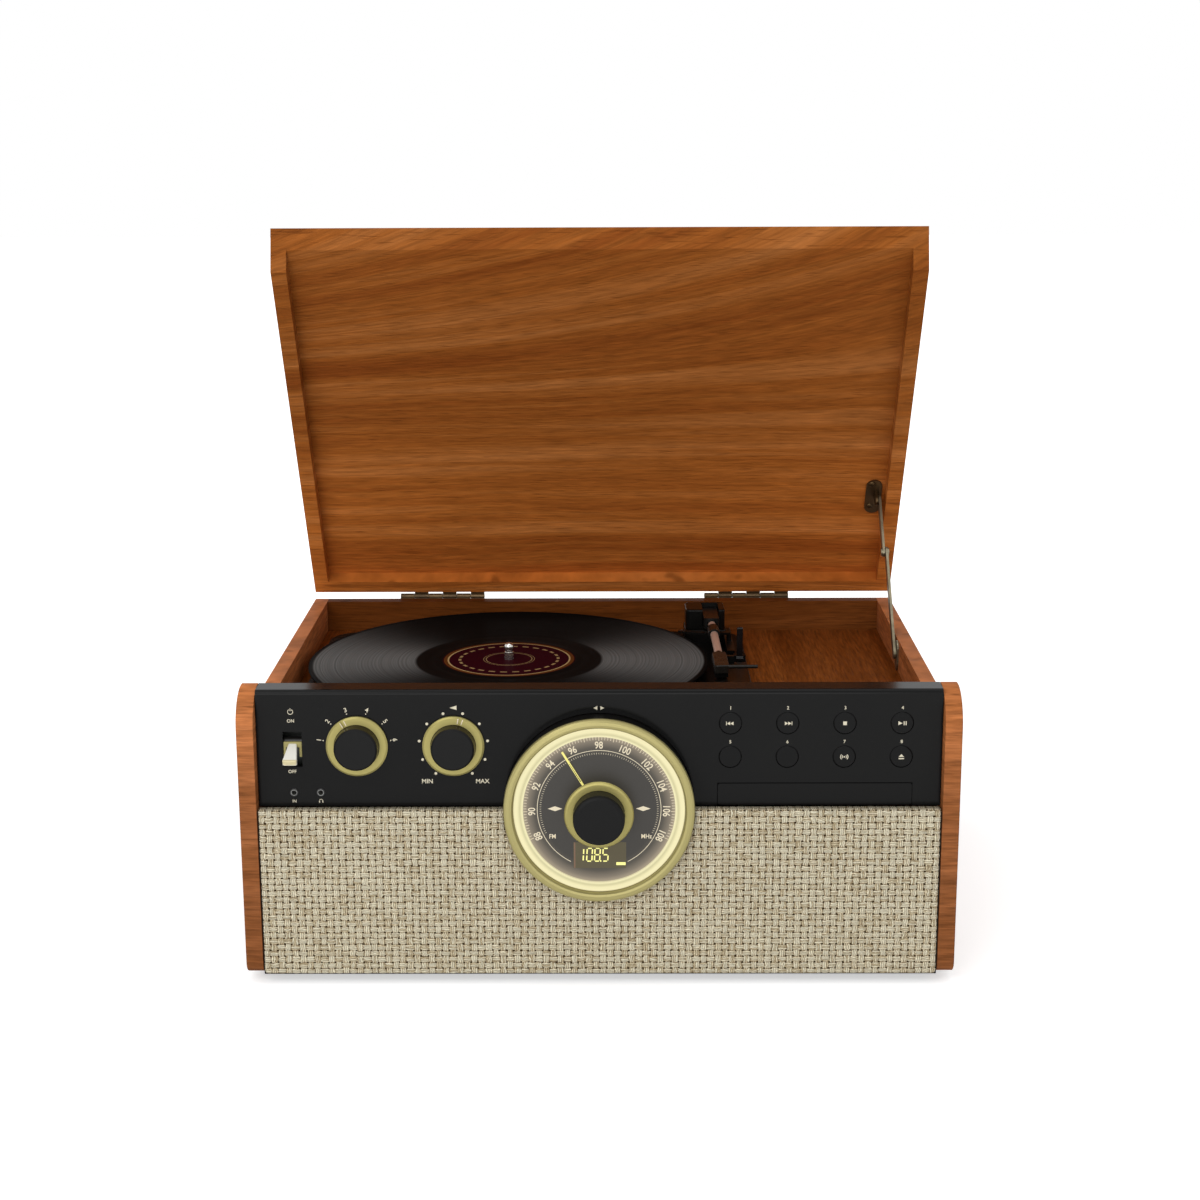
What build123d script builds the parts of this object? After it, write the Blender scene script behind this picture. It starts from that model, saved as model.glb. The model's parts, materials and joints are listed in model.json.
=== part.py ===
from build123d import *
from math import asin, atan2, cos, degrees, hypot, radians, sin, sqrt
import os

# Wooden music centre, 12 inch record player under a hinged lid, with a dial radio,
# a disc tray, eight keys, two knobs and a power lever in the glossy front panel.
# Depths run back from the front plane of the side panels, heights run up from
# the underside of the cabinet, and x runs across from the middle, to the right.

os.makedirs("parts", exist_ok=True)

# Cabinet
body_width = 478.0
cheek_height = 197.0
wall_step = 24.7
board = 11.4
bottom_thickness = 9.0
cheek_land = 28.6
cheek_top_radius = 25.0
cheek_bottom_radius = 9.0
edge_round = 1.0
well_depth = 24.4
deck_thickness = 9.0
foot_height = 7.0
foot_radius = 12.0
foot_round = 1.5
foot_inset = 39.0
foot_setback = 45.0

# Front panel and grille
fascia_recess = 10.0
fascia_wall = 3.0
fascia_round = 3.0
fascia_side_gap = 0.5
grille_drop = 80.4
cloth_thickness = 1.5
cloth_corner = 4.0
cloth_edge = 1.2
baffle_thickness = 9.0
panel_gap = 0.4
boss_radius = 3.5
boss_inset_left = 19.6
boss_inset_right = 11.6
boss_dial_gap = 16.6
boss_drops = (12.0, 57.5)
speaker_inset = 77.6
speaker_floor_gap = 1.0
speaker_top_gap = 2.6
speaker_lip = 7.0
cone_depth = 22.0
cone_radius = 12.0
magnet_radius = 34.0
magnet_length = 20.0

# Lid and hinges
lid_gap = 2.4
lid_rail = 11.3
lid_board_thickness = 11.3
lid_bevel_gap = 1.4
lid_open = 59.4
pin_setback = 3.6
pin_radius = 1.2
pin_fit = 0.05
pin_play = 0.1
turning_gap = 0.3
knuckle_radius = 2.3
knuckle_gap = 0.3
knuckles = 6
hinge_length = 70.0
hinge_leaf_height = 17.5
hinge_leaf = 1.4
hinge_leaf_gap = 0.3
knuckle_neck = 0.6
hinge_centres = (-133.0, 120.0)

# Lid stay
stay_reach = 101.0
stay_drop = 8.0
stay_foot_setback = 142.6
stay_foot_drop = 11.3
stay_upper_length = 48.0
stay_width = 8.0
stay_thickness = 1.9
stay_gap = 0.4
stay_pin_radius = 2.0
stay_pin_fit = 0.1
stay_wall_gap = 1.6
rivet_radius = 3.2
rivet_head = 1.0
bracket_length = 23.4
bracket_width = 13.0
bracket_thickness = 1.2
bracket_drop = 1.1
stay_plate_length = 34.0
stay_plate_width = 12.8
stay_plate_thickness = 1.5
stay_plate_offset = 2.0
stay_plate_shift = 0.8
lug_thickness = 2.0
lug_radius = 4.0

# Turntable deck
plate_width = 330.0
plate_height = 7.5
plate_wall = 2.5
plate_corner = 25.0
plate_edge = 1.5
plate_side_gap = 9.6
plate_front_gap = 6.7
plate_back_gap = 33.6
plate_flange = 10.0
cutout_corner = 12.0
record_side_gap = 7.7
record_front_gap = 5.5
record_back_gap = 3.8
spindle_radius = 3.6
spindle_height = 13.0
record_radius = 150.5
record_thickness = 1.6
label_radius = 50.0
record_lift = 7.7
mat_radius = 97.0
mat_thickness = 1.5
platter_radius = 98.0
platter_thickness = 2.6
platter_rim = 4.0
hub_radius = 60.0
hub_wall = 3.0
boss_at_spindle = 10.0
collar_at_spindle = 9.0
collar_at_spindle_height = 3.0
spindle_tail = 8.0
spindle_neck = 3.0
pulley_radius = 6.0
pulley_hub = 3.0
motor_shaft = 1.0
pulley_distance = 84.0
pulley_bearing = 215.0
belt_thickness = 1.0
belt_height = 1.7
motor_radius = 18.0
motor_height = 25.0

# Tonearm
arm_side_gap = 5.5
arm_back_gap = 53.6
arm_height = 18.0
arm_bearing = 0.6
arm_tube_radius = 3.0
arm_tube_end = 124.0
arm_lug_end = 28.0
arm_lug_start = -8.5
arm_lug_below = 4.0
arm_lug_above = 4.5
arm_pin = 1.5
collar_start = 45.5
collar_length = 17.5
collar_radius = 4.6
yoke_width = 31.0
yoke_length = 28.0
yoke_offset = 4.1
yoke_top = 26.0
yoke_corner = 4.0
yoke_edge = 1.5
base_edge = 1.2
base_height = 9.6
base_margin = 2.0
slot_half = 6.5
lug_half = 6.0
finger_drop = -1.4
finger_radius = 1.4
finger_length = 26.0
head_length = 40.0
head_width = 10.5
head_thickness = 6.0
stylus_clearance = 0.3
stylus_setback = 6.0
cartridge_rise = 1.7
cartridge_length = 18.0
cartridge_setback = 7.0
lifter_reach = 42.0
lifter_width = 6.0
lifter_thickness = 1.6
lifter_sweep = 36.0
lifter_post = 2.0
cueing_offset = 13.4
cueing_half = 3.0
cueing_height = 7.8
cueing_start = 8.0
cue_offset = 19.4
cue_reach = 80.0
cue_length = 25.0
cue_half = 2.6
cue_pivot_rise = 3.6
cue_pin = 1.2
cue_hub = 3.0
cue_bar_half = 2.2
cue_edge = 1.2
ear_thickness = 1.6
ear_half = 3.5
ear_height = 7.0
stand_left = 6.1
stand_shoulder = 11.9
stand_right = 22.4
stand_front = 171.0
stand_back = 110.5
rest_reach = 112.5
rest_post = 5.0
rest_shelf = 16.5
rest_width = 4.0
shelf_thickness = 2.6
speed_offset = 5.4
speed_setback = 32.0
speed_travel = 8.0
speed_grip_width = 9.0
speed_grip_length = 7.0
speed_grip_height = 4.0
speed_stem = 1.7

# Controls
control_drop = 38.0
volume_gap = 33.1
source_share = 0.598
shaft_radius = 3.0
shaft_clearance = 0.4
knob_skirt_radius = 20.5
knob_skirt = 2.6
knob_cap_radius = 15.0
knob_cap_length = 8.0
source_mark = -28.7
volume_mark = 15.2
lever_inset = 24.1
lever_drop = 37.0
lever_slot_drop = 40.6
lever_setback = 3.0
lever_hub = 3.6
lever_pin = 1.2
lever_ear = 2.0
lever_ear_half = 4.0
lever_root_half = 2.2
lever_end_half = 4.9
lever_slot_width = 12.6
lever_slot_height = 24.4
lever_length = 22.4
lever_tilt = 23.2
lever_thickness = 4.2
jack_drop = 70.5
jack_pitch = 17.8
jack_radius = 2.85
jack_shell = 4.5
jack_bore = 1.8
jack_depth = 10.8
jack_stand = 0.8
button_radius = 7.5
button_travel = 1.5
button_fit = 0.25
button_flange = 0.9
button_stem = 2.5
button_dial_gap = 23.6
button_inset = 27.2
button_drops = (23.0, 46.2)
button_names = (("back", "next", "stop", "play"), ("repeat", "random", "link", "eject"))

# Tuning dial
dial_drop = 79.0
dial_radius = 63.4
dial_stand = 17.0
bezel_width = 6.2
drum_wall = 4.4
glow_ring_outer = 57.0
glow_ring_inner = 50.6
needle_tip = 47.0
needle_angle = -31.0
tuning_ring_radius = 23.0
tuning_cap_radius = 17.0
tuning_cap_length = 12.2
tuning_ring_stand = 6.4
board_setback = 13.0
board_thickness = 1.6
board_inset = 7.6
board_drops = (7.0, 61.0)
board_tab_half = 60.0
board_tab_drop = 42.0
unit_half = 7.5
unit_depth = 7.0
unit_neck = 3.4
hub_reach = 3.0

# Disc tray
tray_shift = 2.0
door_width = 129.0
door_drop = 64.6
door_thickness = 3.0
door_corner = 1.5
door_stand = 0.6
door_foot_gap = 0.5
tray_rise = 1.0
tray_inset = 1.5
tray_thickness = 5.0
well_sink = 1.8
disc_hole = 20.0
disc_setback = 5.0
housing_wall = 3.0
housing_side_gap = 0.5
housing_room = 6.5
housing_spare = 22.0
pad_width = 8.0
pad_front = 60.0
pad_back = 160.0
tray_length = 135.0
disc_radius = 60.5

# Amplifier board
main_x = 40.0
main_back_gap = 53.6
main_width = 200.0
main_length = 120.0
post_radius = 3.5
post_height = 6.0
post_inset = 6.0
core_width = 56.0
core_length = 38.0
core_height = 46.0
winding_width = 40.0
winding_length = 58.0
winding_height = 28.0
sink_width = 70.0
sink_length = 14.0
sink_height = 30.0
can_radius = 9.0
can_height = 28.0
can_pitch = 23.0
chip_side = 26.0
chip_height = 3.0

# Rear terminals
terminal_inset = 107.6
terminal_z = 52.0
terminal_width = 150.0
terminal_height = 46.0
terminal_thickness = 2.5
terminal_overlap = 7.0
inlet_offset = 50.0
inlet_width = 28.0
inlet_height = 18.0
inlet_depth = 10.0
inlet_hole = 10.0
inlet_pin_pitch = 7.0
socket_first = -56.0
socket_pitch = 18.0
socket_shell = 4.1
socket_flange = 5.6
socket_bore = 1.7
socket_length = 10.0

# Worked out from the sizes above
half_width = body_width / 2
inner_half = half_width - board
panel_half = inner_half - fascia_side_gap
rest_height = cheek_height - wall_step
rail_back = cheek_land + wall_step
deck_top = rest_height - well_depth
spindle_x = -inner_half + record_side_gap + record_radius
spindle_y = rail_back + record_front_gap + record_radius
inner_back = spindle_y + record_radius + record_back_gap
body_depth = inner_back + board
grille_top = cheek_height - grille_drop
dial_z = cheek_height - dial_drop
control_z = cheek_height - control_drop
volume_x = -(dial_radius + volume_gap)
lever_x = -(inner_half - lever_inset)
lever_z = cheek_height - lever_drop
lever_slot_z = cheek_height - lever_slot_drop
source_x = volume_x + source_share * (lever_x - volume_x)
jack_z = cheek_height - jack_drop
jack_xs = (lever_x, lever_x + jack_pitch)
button_first_x = dial_radius + button_dial_gap
button_pitch_x = (inner_half - button_inset - button_first_x) / (len(button_names[0]) - 1)
button_rows = [cheek_height - drop for drop in button_drops]
speaker_rim = (grille_top - bottom_thickness - speaker_floor_gap - speaker_top_gap) / 2
speaker_hole = speaker_rim - speaker_lip
speaker_x = inner_half - speaker_inset
speaker_z = bottom_thickness + speaker_floor_gap + speaker_rim
lid_thickness = lid_rail + lid_board_thickness
pin_depth = body_depth + pin_setback
pin_height = rest_height + lid_gap / 2
opened = radians(lid_open)
lid_low = lid_gap / 2
lid_floor = lid_low + lid_rail
lid_high = lid_low + lid_thickness
lid_kink = rail_back - lid_gap + lid_bevel_gap * sqrt(2)
lid_length = body_depth - lid_kink
lid_back = -pin_setback
lid_front = lid_back - lid_length
bezel_front = fascia_recess - dial_stand
ring_front = bezel_front - tuning_ring_stand
cap_front = ring_front - tuning_cap_length
corner_y = lid_back - edge_round
corner_z = lid_high - edge_round
rear_reach = pin_depth + corner_y * cos(opened) + corner_z * sin(opened) + edge_round
front_y = -(rear_reach + cap_front) / 2
plate_top = deck_top + plate_height
plate_x = -inner_half + plate_side_gap + plate_width / 2
plate_front = rail_back + plate_front_gap
plate_length = inner_back - plate_back_gap - plate_front
plate_y = plate_front + plate_length / 2
record_top = plate_top + record_lift + record_thickness
mat_top = record_top - record_thickness
platter_top = mat_top - mat_thickness
platter_under = platter_top - platter_thickness
arm_x = spindle_x + record_radius + arm_side_gap
arm_y = inner_back - arm_back_gap
arm_z = plate_top + arm_height
cue_x = arm_x + cue_offset
cue_y = arm_y - cue_reach
speed_x = arm_x + speed_offset
speed_y = plate_front + speed_setback
fascia_rear = fascia_recess + fascia_wall
board_y = fascia_rear + board_setback
lever_y = fascia_rear + lever_setback
stay_foot_depth = pin_depth - stay_foot_setback
stay_foot_height = rest_height - stay_foot_drop
terminal_x = -(inner_half - terminal_inset)


def level(height):
    """Level plane at a height over the underside of the cabinet."""
    return Plane(origin=(0, front_y, foot_height + height))


def facing(depth):
    """Upright plane that faces forward, at a depth behind the front plane."""
    return Plane(origin=(0, front_y + depth, foot_height), x_dir=(1, 0, 0), z_dir=(0, -1, 0))


def side(x):
    """Upright plane square to x, drawn in depth and height."""
    return Plane(origin=(x, front_y, foot_height), x_dir=(0, 1, 0), z_dir=(1, 0, 0))


def pin_side(x):
    """Upright plane square to x, measured from the hinge pin."""
    return Plane(origin=(x, front_y + pin_depth, foot_height + pin_height), x_dir=(0, 1, 0), z_dir=(1, 0, 0))


def lid_side(x):
    """The same plane turned up with the open lid."""
    return Plane(
        origin=(x, front_y + pin_depth, foot_height + pin_height),
        x_dir=(0, cos(opened), -sin(opened)),
        z_dir=(1, 0, 0),
    )


def lid_level(height):
    """Plane along the lid's inner face, turned up with the open lid."""
    return Plane(
        origin=(0, front_y + pin_depth + height * sin(opened), foot_height + pin_height + height * cos(opened)),
        x_dir=(1, 0, 0),
        z_dir=(0, sin(opened), cos(opened)),
    )


def arm_level(height):
    """Level plane whose x runs along the tonearm from its pivot."""
    turn = radians(arm_bearing)
    return Plane(
        origin=(arm_x, front_y + arm_y, foot_height + height),
        x_dir=(sin(turn), -cos(turn), 0),
        z_dir=(0, 0, 1),
    )


def turned_forward(x, z, points, mode=Mode.ADD):
    """Turns an outline of (depth, radius) points about a line that runs forward."""
    with BuildSketch(side(x)) as outline:
        with BuildLine():
            Polyline([(depth, z + radius) for depth, radius in points], close=True)
        make_face()
    revolve(outline.sketch, axis=Axis((x, front_y, foot_height + z), (0, 1, 0)), mode=mode)


def turned_upright(x, y, points, mode=Mode.ADD):
    """Turns an outline of (radius, height) points about an upright line."""
    with BuildSketch(facing(y)) as outline:
        with BuildLine():
            Polyline([(x + radius, height) for radius, height in points], close=True)
        make_face()
    revolve(outline.sketch, axis=Axis((x, front_y + y, 0), (0, 0, 1)), mode=mode)


def filled(plane, points, amount, mode=Mode.ADD):
    """Extrudes a straight-sided outline from a plane."""
    with BuildSketch(plane) as outline:
        with BuildLine():
            Polyline(points, close=True)
        make_face()
    extrude(outline.sketch, amount=amount, mode=mode)


def rectangle(plane, x_low, x_high, y_low, y_high, amount, mode=Mode.ADD):
    """Extrudes a rectangle given by its limits in the plane."""
    with BuildSketch(plane) as outline:
        with Locations(((x_low + x_high) / 2, (y_low + y_high) / 2)):
            Rectangle(x_high - x_low, y_high - y_low)
    extrude(outline.sketch, amount=amount, mode=mode)


def disc(plane, centre, radius, amount, mode=Mode.ADD):
    """Extrudes a circle from a plane."""
    with BuildSketch(plane) as outline:
        with Locations(centre):
            Circle(radius)
    extrude(outline.sketch, amount=amount, mode=mode)


def save(name, piece):
    """Labels a finished piece and writes it."""
    piece.label = name
    export_step(piece, f"parts/{name}.step")


# Side panels, rounded at the front, with a slope and a step for the lid behind

def side_panel(x):
    """One side board of the cabinet, standing from x outwards to x plus its thickness."""
    with BuildSketch(side(x)) as outline:
        with BuildLine():
            Polyline(
                (0, 0), (0, cheek_height), (cheek_land, cheek_height),
                (rail_back, rest_height), (body_depth, rest_height), (body_depth, 0), close=True,
            )
        make_face()
        front_corners = outline.vertices().group_by(Axis.X)[0].sort_by(Axis.Y)
        fillet(front_corners[-1], cheek_top_radius)
        front_corners = outline.vertices().group_by(Axis.X)[0].sort_by(Axis.Y)
        fillet(front_corners[0], cheek_bottom_radius)
    extrude(outline.sketch, amount=board)


with BuildPart() as side_panel_left:
    side_panel(-half_width)
    fillet(side_panel_left.faces().sort_by(Axis.X)[0].edges(), edge_round)
save("side_panel_left", side_panel_left.part)

with BuildPart() as side_panel_right:
    side_panel(inner_half)
    fillet(side_panel_right.faces().sort_by(Axis.X)[-1].edges(), edge_round)
save("side_panel_right", side_panel_right.part)

# Bottom, back, front rail and deck board between the side panels

baffle_back = cloth_thickness + baffle_thickness
rail_front = rail_back - board

with BuildPart() as bottom_panel:
    rectangle(level(0), -inner_half, inner_half, baffle_back, inner_back, bottom_thickness)
save("bottom_panel", bottom_panel.part)

with BuildPart() as back_panel:
    rectangle(facing(body_depth), -inner_half, inner_half, 0, rest_height, board)
    with BuildSketch(facing(body_depth)) as window:
        with Locations((terminal_x, terminal_z)):
            RectangleRounded(terminal_width - 2 * terminal_overlap, terminal_height - 2 * terminal_overlap, 4)
    extrude(window.sketch, amount=board, mode=Mode.SUBTRACT)
save("back_panel", back_panel.part)

with BuildPart() as front_rail:
    rectangle(facing(rail_back), -inner_half, inner_half, deck_top, rest_height, board)
save("front_rail", front_rail.part)

with BuildPart() as deck_board:
    rectangle(level(deck_top - deck_thickness), -inner_half, inner_half, rail_front, inner_back, deck_thickness)
    with BuildSketch(level(deck_top)) as cutout:
        with Locations((plate_x, plate_y)):
            RectangleRounded(plate_width - 2 * plate_flange, plate_length - 2 * plate_flange, cutout_corner)
    extrude(cutout.sketch, amount=-deck_thickness, mode=Mode.SUBTRACT)
save("deck_board", deck_board.part)

with BuildPart() as feet:
    for foot_x in (-half_width + foot_inset, half_width - foot_inset):
        for foot_y in (foot_setback, body_depth - foot_setback):
            turned_upright(
                foot_x, foot_y,
                [(0, 0), (foot_radius, 0), (foot_radius, foot_round - foot_height),
                 (foot_radius - foot_round, -foot_height), (0, -foot_height)],
            )
save("feet", feet.part)

# Speaker baffle and the cloth stretched over it, both notched for the dial drum

drum_radius = dial_radius - 0.4
notch_radius = drum_radius + panel_gap

with BuildPart() as baffle_board:
    rectangle(facing(baffle_back), -panel_half, panel_half, 0, grille_top - cloth_thickness, baffle_thickness)
    disc(facing(baffle_back), (0, dial_z), notch_radius, baffle_thickness, Mode.SUBTRACT)
    for hole_x in (-speaker_x, speaker_x):
        disc(facing(baffle_back), (hole_x, speaker_z), speaker_hole, baffle_thickness, Mode.SUBTRACT)
save("baffle_board", baffle_board.part)

with BuildPart() as grille_cloth:
    with BuildSketch(facing(cloth_thickness)) as sheet:
        with Locations((0, grille_top / 2)):
            Rectangle(2 * panel_half, grille_top)
        fillet(sheet.vertices().group_by(Axis.Y)[0], cloth_corner)
    extrude(sheet.sketch, amount=cloth_thickness)
    rectangle(facing(fascia_recess), -panel_half, panel_half, grille_top - cloth_thickness, grille_top,
              fascia_recess - cloth_thickness)
    disc(facing(fascia_recess), (0, dial_z), notch_radius, fascia_recess, Mode.SUBTRACT)
    fillet(grille_cloth.edges().filter_by(Axis.X).group_by(Axis.Y)[0].group_by(Axis.Z)[-1], cloth_edge)
save("grille_cloth", grille_cloth.part)

# Glossy front panel, bent over the top and down behind along the lid's slope

fascia_low = grille_top + panel_gap
door_top = cheek_height - door_drop
tray_x = (dial_radius + inner_half) / 2 - tray_shift
wall_slope = fascia_wall * sqrt(2)

with BuildPart() as fascia:
    with BuildSketch(side(-panel_half)) as bend:
        with BuildLine():
            Polyline(
                (fascia_recess, fascia_low), (fascia_recess, cheek_height), (cheek_land, cheek_height),
                (rail_back, rest_height), (rail_back - wall_slope, rest_height),
                (cheek_land + fascia_wall - wall_slope, cheek_height - fascia_wall),
                (fascia_rear, cheek_height - fascia_wall), (fascia_rear, fascia_low), close=True,
            )
        make_face()
        fillet(bend.vertices().group_by(Axis.X)[0].sort_by(Axis.Y)[-1], fascia_round)
    extrude(bend.sketch, amount=2 * panel_half)
    fascia_back = facing(fascia_rear)
    disc(fascia_back, (0, dial_z), notch_radius, fascia_wall, Mode.SUBTRACT)
    rectangle(fascia_back, lever_x - lever_slot_width / 2, lever_x + lever_slot_width / 2,
              lever_slot_z - lever_slot_height / 2, lever_slot_z + lever_slot_height / 2, fascia_wall,
              Mode.SUBTRACT)
    rectangle(fascia_back, tray_x - door_width / 2 - panel_gap, tray_x + door_width / 2 + panel_gap,
              fascia_low, door_top + panel_gap, fascia_wall, Mode.SUBTRACT)
    for jack_x in jack_xs:
        disc(fascia_back, (jack_x, jack_z), jack_radius, fascia_wall, Mode.SUBTRACT)
    for knob_x in (source_x, volume_x):
        disc(fascia_back, (knob_x, control_z), shaft_radius + 1 + shaft_clearance, fascia_wall, Mode.SUBTRACT)
    for row_z in button_rows:
        for column in range(4):
            disc(fascia_back, (button_first_x + column * button_pitch_x, row_z),
                 button_radius + button_fit, fascia_wall, Mode.SUBTRACT)
    boss_columns = (
        -(inner_half - boss_inset_left), -(dial_radius + boss_dial_gap), dial_radius + boss_dial_gap,
        inner_half - boss_inset_right,
    )
    for boss_x in boss_columns:
        for boss_drop in boss_drops:
            if boss_x == boss_columns[2] and boss_drop == boss_drops[-1]:
                continue
            disc(facing(board_y), (boss_x, cheek_height - boss_drop), boss_radius, board_setback)
    for ear_side in (-1, 1):
        ear_inner = lever_x + ear_side * lever_slot_width / 2
        ear_outer = ear_inner + ear_side * lever_ear
        rectangle(facing(lever_y + lever_setback), min(ear_inner, ear_outer), max(ear_inner, ear_outer),
                  lever_z - lever_ear_half, lever_z + lever_ear_half, 2 * lever_setback)
    disc(side(lever_x - lever_slot_width), (lever_y, lever_z), lever_pin + pin_play, 2 * lever_slot_width,
         Mode.SUBTRACT)
save("fascia", fascia.part)

# Lid, a flat board on side and rear rails with its whole front end cut at 45 degrees

with BuildPart() as lid_board:
    filled(
        lid_side(-half_width),
        [(lid_back, lid_floor), (lid_back, lid_high), (lid_front - lid_thickness, lid_high),
         (lid_front - lid_rail, lid_floor)],
        body_width,
    )
    long_edges = lid_board.edges().filter_by(Axis.X)
    top_rear = long_edges.sort_by(lambda edge: edge.center().Y)[-1]
    fillet(top_rear, edge_round)
save("lid_board", lid_board.part)


def lid_side_rail(x):
    """Rail under one side of the lid board."""
    filled(
        lid_side(x),
        [(lid_back, lid_low), (lid_back, lid_floor), (lid_front - lid_rail, lid_floor), (lid_front, lid_low)],
        board,
    )


with BuildPart() as lid_rails:
    lid_side_rail(-half_width)
    lid_side_rail(inner_half)
    rectangle(lid_level(lid_low), -inner_half, inner_half, lid_back - board, lid_back, lid_rail)
save("lid_rails", lid_rails.part)

# Butt hinges, three knuckles on each leaf

knuckle_pitch = hinge_length / knuckles


def hinge_leaves(plane_at, upward, first_knuckle):
    """Leaves and knuckles of both hinges on one side: upward is 1 for the lid, -1 for the box."""
    for centre in hinge_centres:
        start = centre - hinge_length / 2
        plate = plane_at(start)
        plate_low = upward * (knuckle_radius + hinge_leaf_gap)
        plate_high = upward * (knuckle_radius + hinge_leaf_gap + hinge_leaf_height)
        rectangle(plate, -pin_setback, -pin_setback + hinge_leaf, min(plate_low, plate_high),
                  max(plate_low, plate_high), hinge_length)
        for index in range(first_knuckle, knuckles, 2):
            knuckle_plane = plane_at(start + index * knuckle_pitch + knuckle_gap / 2)
            width = knuckle_pitch - knuckle_gap
            neck = upward * knuckle_neck
            rectangle(knuckle_plane, -pin_setback, -pin_setback + hinge_leaf,
                      min(neck, plate_high), max(neck, plate_high), width)
            tongue = upward * (knuckle_radius - pin_play)
            rectangle(knuckle_plane, -pin_setback, 0, min(neck, tongue), max(neck, tongue), width)
            disc(knuckle_plane, (0, 0), knuckle_radius, width)
        disc(plate, (0, 0), pin_radius + pin_fit, hinge_length, Mode.SUBTRACT)


with BuildPart() as hinge_box_leaves:
    hinge_leaves(pin_side, -1, 0)
save("hinge_box_leaves", hinge_box_leaves.part)

with BuildPart() as hinge_lid_leaves:
    hinge_leaves(lid_side, 1, 1)
save("hinge_lid_leaves", hinge_lid_leaves.part)

with BuildPart() as hinge_pins:
    for centre in hinge_centres:
        disc(pin_side(centre - hinge_length / 2), (0, 0), pin_radius, hinge_length)
save("hinge_pins", hinge_pins.part)

# Lid stay, two flat arms that stand straight with the lid open and fold inside the box

upper_pin_z = lid_floor - stay_drop
upper_pin_depth = pin_depth - stay_reach * cos(opened) + upper_pin_z * sin(opened)
upper_pin_height = pin_height + stay_reach * sin(opened) + upper_pin_z * cos(opened)
stay_run = upper_pin_depth - stay_foot_depth
stay_rise = upper_pin_height - stay_foot_height
stay_lean = degrees(atan2(stay_rise, stay_run))
stay_lower_length = hypot(stay_run, stay_rise) - stay_upper_length
elbow_share = stay_lower_length / (stay_lower_length + stay_upper_length)
elbow_depth = stay_foot_depth + stay_run * elbow_share
elbow_height = stay_foot_height + stay_rise * elbow_share
lower_x = inner_half - stay_wall_gap - stay_thickness
upper_x = lower_x - stay_gap - stay_thickness


def stay_arm(x, start, end, hole):
    """A flat round-ended bar from start to end, with a hole at the point named."""
    length = hypot(end[0] - start[0], end[1] - start[1])
    with BuildSketch(side(x)) as bar:
        with Locations(((start[0] + end[0]) / 2, (start[1] + end[1]) / 2)):
            SlotCenterToCenter(length, stay_width, rotation=stay_lean)
        with Locations(hole):
            Circle(stay_pin_radius + stay_pin_fit, mode=Mode.SUBTRACT)
    extrude(bar.sketch, amount=stay_thickness)


with BuildPart() as stay_upper_arm:
    stay_arm(upper_x, (elbow_depth, elbow_height), (upper_pin_depth, upper_pin_height),
             (upper_pin_depth, upper_pin_height))
    disc(side(upper_x), (elbow_depth, elbow_height), rivet_radius, -rivet_head)
save("stay_upper_arm", stay_upper_arm.part)

with BuildPart() as stay_lower_arm:
    stay_arm(lower_x, (stay_foot_depth, stay_foot_height), (elbow_depth, elbow_height),
             (stay_foot_depth, stay_foot_height))
    disc(side(lower_x + stay_thickness), (elbow_depth, elbow_height), rivet_radius, rivet_head)
save("stay_lower_arm", stay_lower_arm.part)

with BuildPart() as stay_wall_bracket:
    with BuildSketch(side(inner_half)) as oval:
        with Locations((stay_foot_depth, stay_foot_height - bracket_drop)):
            SlotOverall(bracket_length, bracket_width, rotation=90)
    extrude(oval.sketch, amount=-bracket_thickness)
    disc(side(inner_half), (stay_foot_depth, stay_foot_height), stay_pin_radius, -(inner_half - lower_x))
save("stay_wall_bracket", stay_wall_bracket.part)

lug_x = upper_x - stay_gap - lug_thickness
with BuildPart() as stay_lid_plate:
    with BuildSketch(lid_level(lid_floor)) as oval:
        with Locations((lug_x - stay_plate_shift, stay_plate_offset - stay_reach)):
            SlotCenterToCenter(stay_plate_length - stay_plate_width, stay_plate_width, rotation=90)
    extrude(oval.sketch, amount=-stay_plate_thickness)
    with BuildSketch(lid_side(lug_x)) as lug:
        with Locations((-stay_reach, (lid_floor + upper_pin_z) / 2)):
            Rectangle(2 * lug_radius, lid_floor - upper_pin_z)
        with Locations((-stay_reach, upper_pin_z)):
            Circle(lug_radius)
    extrude(lug.sketch, amount=lug_thickness)
    disc(lid_side(lug_x), (-stay_reach, upper_pin_z), stay_pin_radius, upper_x + stay_thickness - lug_x)
save("stay_lid_plate", stay_lid_plate.part)

# Turntable deck plate with the ears that carry the cueing lever

motor_turn = radians(pulley_bearing)
pulley_x = spindle_x + pulley_distance * cos(motor_turn)
pulley_y = spindle_y + pulley_distance * sin(motor_turn)
cue_pivot_z = plate_top + cue_pivot_rise

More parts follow.
